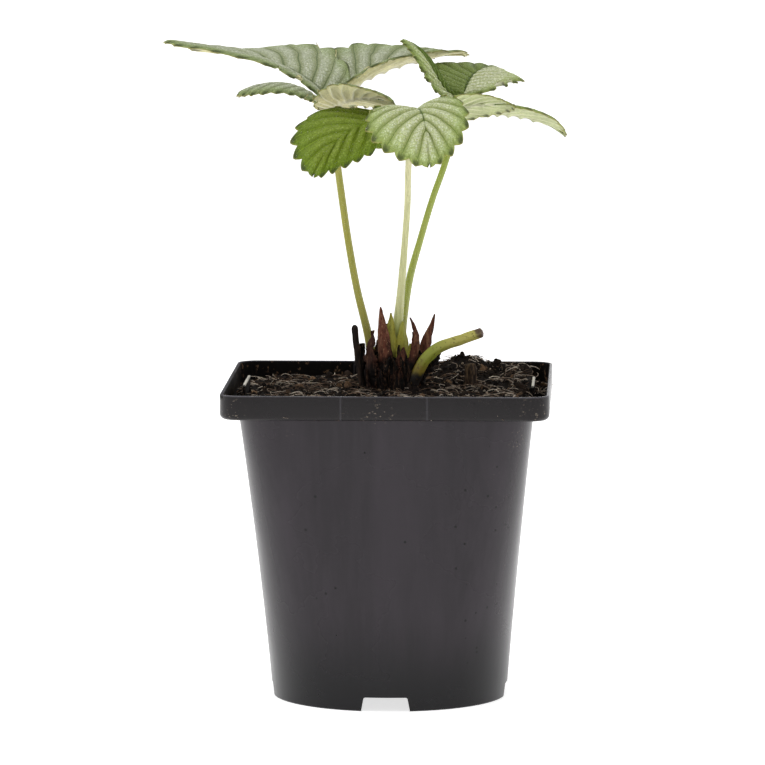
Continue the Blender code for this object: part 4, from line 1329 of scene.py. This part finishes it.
def blade_points(tooth, row, narrow):
    """Places of the flat blade as (along, out), for arrays of the place in teeth and of the row."""
    last = TEETH + 1
    share = tooth / last
    start = VEIN_REACH * share ** VEIN_CROWD
    bump = 1 - (2 * np.abs(tooth - np.round(tooth))) ** TOOTH_POINT
    u = np.clip(share + TOOTH_LEAN / last * (bump - 0.5), 0.0, 1.0)
    along, out = blade_edge(u)
    ahead, behind = blade_edge(np.minimum(u + 0.01, 1.0)), blade_edge(np.maximum(u - 0.01, 0.0))
    run_x, run_y = (ahead[0] - behind[0]) * narrow, ahead[1] - behind[1]
    length = np.hypot(run_x, run_y)
    run_x, run_y = run_x / length, run_y / length
    cut = TOOTH_CUT * np.clip(tooth - FIRST_TOOTH, 0.0, 1.0) * np.clip(last - 0.1 - tooth, 0.3, 1.0)
    depth = cut * (1 - bump)
    along = along + depth * run_y / narrow
    out = np.maximum(0.0, out - depth * run_x)
    at_tip = tooth >= last - 1e-6
    along, out = np.where(at_tip, 1.0, along), np.where(at_tip, 0.0, out)
    bend = start + 0.40 * (along - start)
    left = 1 - row
    return (
        left * left * start + 2 * left * row * bend + row * row * along,
        2 * left * row * 0.55 * out + row * row * out,
    )


def unit_rows(a):
    return a / np.maximum(np.linalg.norm(a, axis=-1, keepdims=True), 1e-12)


class Midrib:
    """The curve a leaflet hangs on, with its directions at each place along it."""

    def __init__(self, leaflet):
        self.points = np.array(leaflet.mid, float) * MM
        self.ups = unit_rows(np.array(leaflet.up, float))
        self.steps = np.linspace(0, 1, MIDRIB_STEPS + 1)
        pieces = np.linalg.norm(np.diff(self.curve(self.steps), axis=0), axis=1)
        self.lengths = np.concatenate([[0], np.cumsum(pieces)])

    def curve(self, t):
        a, b, c, d = self.points
        t = t[..., None]
        s = 1 - t
        return a * s ** 3 + b * 3 * s * s * t + c * 3 * s * t * t + d * t ** 3

    def frame(self, share):
        t = np.interp(np.clip(share, 0, 1) * self.lengths[-1], self.lengths, self.steps)
        ahead = unit_rows(self.curve(np.minimum(t + 0.01, 1.0)) - self.curve(np.maximum(t - 0.01, 0.0)))
        up = self.ups[0] + (self.ups[1] - self.ups[0]) * t[..., None]
        up = unit_rows(up - ahead * (up * ahead).sum(-1, keepdims=True))
        return self.curve(t), up, np.cross(ahead, up)


def vertex_normals(points, quads):
    normals = np.zeros_like(points)
    across = np.cross(points[quads[:, 2]] - points[quads[:, 0]], points[quads[:, 3]] - points[quads[:, 1]])
    for corner in range(4):
        np.add.at(normals, quads[:, corner], across)
    return unit_rows(normals)


def blade(name, leaflet, seed, look):
    """One leaflet: a puckered, veined, toothed blade as a closed shell."""
    leaf = settings().leaf
    columns, rows = (TEETH + 1) * leaf.columns, leaf.rows
    midrib = Midrib(leaflet)
    width = leaflet.width * MM
    tooth, row = np.meshgrid(np.arange(columns + 1) / leaf.columns, np.arange(rows + 1) / rows, indexing="ij")
    row = row ** 0.9
    along, out = blade_points(tooth, row, midrib.lengths[-1] / width)
    centre, up, right = midrib.frame(along)
    first = np.arange(tooth.size).reshape(tooth.shape)
    grids, ids = [], [first, first + tooth.size]
    for side, (share, fold_base, fold_tip, bend) in ((-1, leaflet.left), (1, leaflet.right)):
        fold = fold_tip + (fold_base - fold_tip) * (1 - along) ** 2
        angle = np.radians(fold + 0.5 * bend * out)[..., None]
        reach = (out * width * share)[..., None]
        grids.append(centre + right * (side * reach * np.cos(angle)) + up * (reach * np.sin(angle)))
    ids[1][:, 0] = ids[0][:, 0]
    for grid in ids:
        grid[-1, :] = first[-1, 0]
    points = np.concatenate([g.reshape(-1, 3) for g in grids])
    facts = {"tooth": np.tile(tooth.ravel(), 2), "edge": np.tile(row.ravel(), 2)}
    facts["side"] = np.repeat([0.0, 1.0], tooth.size)
    facts["tint"] = np.repeat(leaflet.tint, tooth.size)
    quads = []
    for side, grid in zip((-1, 1), ids):
        a, b, c, d = grid[:-1, :-1], grid[1:, :-1], grid[1:, 1:], grid[:-1, 1:]
        corners = (a, b, c, d) if side < 0 else (a, d, c, b)
        quads.append(np.stack([k.ravel() for k in corners], axis=1))
    quads = np.concatenate(quads)
    quads = quads[quads[:, 1] != quads[:, 2]]
    drift = np.array([noise.noise(Vector(p) * VEIN_DRIFT_SCALE) for p in points])
    facts["tooth"] = facts["tooth"] + VEIN_DRIFT * drift * np.sin(np.pi * facts["edge"])
    lift = relief(leaf, facts, points, seed, width * leaflet.pucker)
    points = points + vertex_normals(points, quads) * lift[:, None]
    return shell(name, points, vertex_normals(points, quads), quads, facts, look)


def relief(leaf, facts, points, seed, width):
    """How far each place of the blade stands up: puckers, vein grooves, cells, waves and drooping teeth."""
    tooth, edge = facts["tooth"], facts["edge"]
    open_out = np.sin(np.pi * np.minimum(1.0, 0.9 * edge + 0.08)) ** 0.8
    from_vein = np.abs(tooth - np.round(tooth))
    size = width / (18 * MM)
    lift = leaf.pucker * size * np.sin(np.pi * tooth) ** 2 * open_out
    vein = np.exp(-((from_vein / (0.05 + 0.03 / (0.3 + edge))) ** 2)) * (1 - 0.55 * edge)
    middle = np.exp(-((edge / 0.035) ** 2))
    lift -= leaf.groove * (vein + 1.3 * middle)
    lift -= TOOTH_DROOP * np.clip((edge - 0.86) / 0.14, 0, 1) ** 2 * np.clip(tooth, 0, 1)
    slow, cell = np.empty(len(points)), np.empty(len(points))
    shift = Vector((seed * 3.1, 0, 0))
    for i, p in enumerate(points):
        here = Vector(p)
        slow[i] = noise.noise(here * 85 + shift)
        nearest = noise.voronoi(here / leaf.cell)[0]
        cell[i] = min(1.0, 1.6 * (nearest[1] - nearest[0]))
    lift += leaf.wave * slow * np.clip(edge * 1.6, 0, 1)
    return lift + leaf.cell_height * cell * (1 - vein) * (1 - middle)


def shell(name, points, normals, quads, facts, look):
    """Closes the blade's sheet with an underside, whose midrib and side veins stand out."""
    tooth, edge = facts["tooth"], facts["edge"]
    vein = np.exp(-((np.abs(tooth - np.round(tooth)) / 0.055) ** 2)) * (1 - edge) ** 0.7
    middle = np.exp(-((edge / 0.05) ** 2)) * np.clip(1.15 - tooth / (TEETH + 1), 0, 1)
    thin = settings().leaf.thickness * (1 - 0.45 * edge ** 3)
    below = thin / 2 + UNDER_VEIN * vein + UNDER_MIDRIB * middle
    top = points + normals * (thin / 2)[:, None]
    bottom = points - normals * below[:, None]
    count, quads = len(points), quads.tolist()
    edges = dict.fromkeys((quad[i], quad[(i + 1) % 4]) for quad in quads for i in range(4))
    faces = [corners_once(quad) for quad in quads]
    faces += [corners_once([corner + count for corner in reversed(quad)]) for quad in quads]
    faces += [(b, a, a + count, b + count) for a, b in edges if a != b and (b, a) not in edges]
    made = mesh_object(name, np.concatenate([top, bottom]), faces, look)
    for key, values in facts.items():
        paint(made, key, np.concatenate([values, values]))
    paint(made, "under", np.concatenate([np.zeros(count), np.ones(count)]))
    drop_loose_points(made)
    made.data.shade_smooth()
    return made


def corners_once(quad):
    """The face without a repeated corner."""
    return [v for i, v in enumerate(quad) if v != quad[i - 1]]


def vein_masks(look, tooth, edge):
    """How far the next side vein is, where midrib and side veins run, and where the small veins run."""
    from_vein = abs(tooth - look.math("ROUND", tooth))
    wide = look.math("DIVIDE", 0.045, edge + 0.30)
    side_vein = look.ramp(look.math("DIVIDE", from_vein, wide), 1.0, 0.35) * look.ramp(edge, 1.0, 0.8)
    vein = look.math("MAXIMUM", side_vein, look.ramp(edge, 0.045, 0.015))
    flat = look.out("ShaderNodeCombineXYZ", {0: tooth * 5.0, 1: edge * 15.0, 2: look.attribute("side") * 9.0})
    net = look.cells(flat, 1.0, feature="DISTANCE_TO_EDGE", randomness=0.8)
    return from_vein, vein, look.ramp(net, 0.13, 0.02)


def leaf_material(name, top, between, top_vein, sheen, sheen_share, under, under_vein):
    look = Look(name)
    tooth, edge, tint = (look.attribute(key) for key in ("tooth", "edge", "tint"))
    from_vein, vein, veinlet = vein_masks(look, tooth, edge)
    jitter = look.vector("SCALE", look.noise(900.0, 2.0, 0.5, key="Color"), 0.9 * MM)
    shifted = look.vector("ADD", look.place(), jitter)
    dome = look.ramp(look.cells(shifted, 1.0 / settings().leaf.cell, feature="DISTANCE_TO_EDGE"), 0.0, 0.26)
    broad, fine = look.noise(120.0), look.noise(1500.0, 3.0, 0.6)
    sine = look.math("SINE", tooth * math.pi)
    pleat = sine * sine * look.ramp(edge, 1.0, 0.8)
    # Where the painted sheen falls: a speckled highlight on the pleats' crests and the cells' tops
    shine = look.ramp(pleat, -0.15, 0.95) * look.ramp(fine, 0.36, 0.64, 0.25, 1.0) * (dome * 0.5 + 0.5)
    upper = look.coats(
        # Painted shade in the grooves at the side veins, and painted light on the pleats between them
        shade(top, between),
        (pleat, shade(top, 1.12)),
        # Painted shade in the creases round the small quilted cells
        (look.ramp(dome, 1.0, 0.0, 0.0, 0.38), shade(top, 0.36)),
        (look.ramp(broad, 0.3, 0.7, 0.0, 0.45), shade(top, 0.70)),
        # Painted sheen over the pleats
        (shine * sheen_share, sheen),
    )
    upper = look.coats(
        upper,
        (look.ramp(edge, 0.50, 0.95, 0.0, 0.60), look.mix(1.0, upper, OUTER_ZONE, "MULTIPLY")),
        (veinlet * 0.25, top_vein),
        (vein * 0.75, top_vein),
    )
    lower = look.coats(
        shade(under, 0.85),
        (look.ramp(broad, 0.3, 0.7), shade(under, 1.1)),
        (look.ramp(fine, 0.62, 0.3, 0.0, 0.35), shade(under, 0.6)),
        (veinlet * 0.40, shade(under, 0.70)),
        (vein * 0.85, under_vein),
    )
    colour = look.mix(look.ramp(look.attribute("under"), 0.4, 0.6), upper, lower)
    # Painted light and shade of each half; darker halves also turn a deeper green
    shares = {0: tint, 1: look.math("POWER", tint, 0.8), 2: look.math("POWER", tint, 1.6)}
    colour = look.mix(1.0, colour, look.out("ShaderNodeCombineColor", shares), "MULTIPLY")
    near_tip = look.ramp(edge, 0.86, 0.96) * look.ramp(from_vein, 0.30, 0.10)
    rim = look.ramp(edge, 0.975, 0.998)
    colour = look.coats(colour, (near_tip * 0.80, "#333D1A"), (rim * 0.55, "#B0A85E"))
    height = dome * 0.8 + fine * 0.35 - veinlet * 0.5
    return look.finish(colour, look.ramp(broad, 0.3, 0.7, 0.44, 0.58), 0.22, (height, 0.22 * MM, 0.8))


def hair_tree():
    """Stands fine tapered hairs on a surface, leaning a little each its own way."""
    look = Look("hair")
    look.finish(look.mix(look.attribute("shade"), "#D9DCC6", "#F3F3EA"), 0.4)
    make = Scatter("hairs", HAIR_SEED)
    points = make.points(make.density)
    needle = {"Vertices": 3, "Radius Top": 0.0, "Radius Bottom": 0.03, "Depth": 1.0}
    needle = make.out("GeometryNodeMeshCone", needle, "Mesh", fill_type="NGON")
    upright = Wire(make, points.outputs["Rotation"])
    tilt = make.random((-HAIR_LEAN, -HAIR_LEAN, 0), (HAIR_LEAN, HAIR_LEAN, FULL_TURN), 1)
    turn = make.out("FunctionNodeRotateRotation", {0: upright, 1: tilt}, rotation_space="LOCAL")
    return make.finish(points, needle, turn, make.size * make.random(0.5, 1.3, 2), look.material)


class MakeLeaves(bpy.types.Operator):
    """Builds the three leaves: stalk, blades and hairs"""

    bl_idname = "strawberry.make_leaves"
    bl_label = "Make leaves"

    def execute(self, context):
        leaf = settings().leaf
        hairs = hair_tree()
        looks = {key: leaf_material("blade_" + key, *values) for key, values in LEAF_LOOKS.items()}
        for number, (name, leaflets) in enumerate(LEAFLETS.items()):
            stem_look = stalk_material("stalk_" + name, STALK_LOOKS[name])
            stem = stalk("stalk_" + name, PETIOLES[name], stem_look, groove=0.12)
            blades = []
            for i, leaflet in enumerate(leaflets):
                blades.append(blade(f"blade_{i}", leaflet, 10 * number + i, looks[leaflet.look]))
            blades = join_meshes("blades_" + name, blades)
            down = [
                run_tree("down", base, hairs, density, leaf.hair_length)
                for base, density in ((stem, leaf.stalk_hairs), (blades, leaf.blade_hairs))
            ]
            finish_piece(join_meshes(name.replace("leaf_", "leaf_hairs_"), down), name)
            finish_piece(join_meshes(name.replace("leaf_", "strawberry_leaf_"), [stem, blades]), name, [name])
        return {"FINISHED"}


# Stage


def stand(name, data, place, ahead):
    """Puts a light or the camera in its place, facing ahead."""
    obj = new_object(name, data)
    obj.location = place
    obj.rotation_euler = ahead.to_track_quat("-Z", "Y").to_euler()
    return obj


def soft_light(name, place, size, strength):
    data = bpy.data.lights.new(name, "AREA")
    data.shape = "RECTANGLE"
    data.size, data.size_y = size
    data.energy = strength * settings().stage.power
    stand(name, data, Vector(place), Vector(LIGHT_AIM) - Vector(place))


def floor_material():
    stage = settings().stage
    look = Look("studio_floor")
    shader = look.nodes.nodes["Principled BSDF"]
    shader.inputs["Emission Color"].default_value = (1, 1, 1, 1)
    shader.inputs["Emission Strength"].default_value = stage.glow
    colour = look.mix(look.noise(3.0, 2.0), shade(stage.floor, 0.99), shade(stage.floor))
    return look.finish(colour, 0.9, 0.1)


def sweep_floor():
    """A floor that curves up into a backdrop all round, so that every view sees it pale."""
    profile = [(FLOOR_NEAR, 0.0), (FLOOR_REACH, 0.0)]
    for a in arc_steps(SWEEP_STEPS)[1:]:
        profile.append((FLOOR_REACH + FLOOR_SWEEP * math.sin(a), FLOOR_SWEEP - FLOOR_SWEEP * math.cos(a)))
    points = [around(a) * radius + Vector((0, 0, z)) for radius, z in profile for a in circle(FLOOR_SIDES)]
    points.append(Vector())
    faces = [(len(points) - 1, i, (i + 1) % FLOOR_SIDES) for i in range(FLOOR_SIDES)]
    faces += [(a, d, c, b) for a, b, c, d in grid_faces(len(profile) - 1, FLOOR_SIDES, closed=True)]
    made = mesh_object("studio_floor", points, faces, floor_material())
    made.data.shade_smooth()
    return made


class MakeStage(bpy.types.Operator):
    """Sets the floor, the lights and the camera"""

    bl_idname = "strawberry.make_stage"
    bl_label = "Make stage"

    def execute(self, context):
        stage = settings().stage
        sweep_floor()
        scene = context.scene
        world = bpy.data.worlds.new("studio")
        world.use_nodes = True
        background = world.node_tree.nodes["Background"].inputs
        background["Color"].default_value = (1, 1, 1, 1)
        background["Strength"].default_value = stage.sky
        scene.world = world
        for name, light in LIGHTS.items():
            soft_light(name, *light)
        scene.view_settings.view_transform = "Standard"
        data = bpy.data.cameras.new("camera")
        data.lens = stage.focal
        data.sensor_width = 36.0
        data.clip_end = 20.0
        pitch, azimuth = stage.pitch, stage.azimuth
        level = math.cos(pitch)
        back = Vector((math.sin(azimuth) * level, -math.cos(azimuth) * level, math.sin(pitch)))
        scene.camera = stand("camera", data, Vector(stage.target) + back * stage.distance, -back)
        return {"FINISHED"}


class PlantPanel(bpy.types.Panel):
    """Lists the sizes, the colours and the pieces"""

    bl_idname = "VIEW3D_PT_strawberry_plant"
    bl_label = "Potted strawberry"
    bl_space_type = "VIEW_3D"
    bl_region_type = "UI"
    bl_category = "Plant"

    def draw(self, context):
        for key in PlantSettings.__annotations__:
            group = getattr(settings(), key)
            box = self.layout.box()
            box.label(text=key.capitalize())
            for name in group.__annotations__:
                box.prop(group, name)
        for operator in OPERATORS:
            self.layout.operator(operator.bl_idname)


OPERATORS = (MakeStage, MakePot, MakeSoil, MakeStubs, MakeCrown, MakeLeaves)
GROUPS = (PotSettings, SoilSettings, CrownSettings, LeafSettings, StageSettings, PlantSettings)


def register():
    for kind in GROUPS + OPERATORS + (PlantPanel,):
        bpy.utils.register_class(kind)
    bpy.types.Scene.strawberry_plant = bpy.props.PointerProperty(type=PlantSettings)


def unregister():
    del bpy.types.Scene.strawberry_plant
    for kind in reversed(GROUPS + OPERATORS + (PlantPanel,)):
        bpy.utils.unregister_class(kind)


def main():
    register()
    bpy.ops.strawberry.make_stage()
    bpy.ops.strawberry.make_pot()
    bpy.ops.strawberry.make_soil()
    bpy.ops.strawberry.make_stubs()
    bpy.ops.strawberry.make_crown()
    bpy.ops.strawberry.make_leaves()


if __name__ == "__main__":
    main()
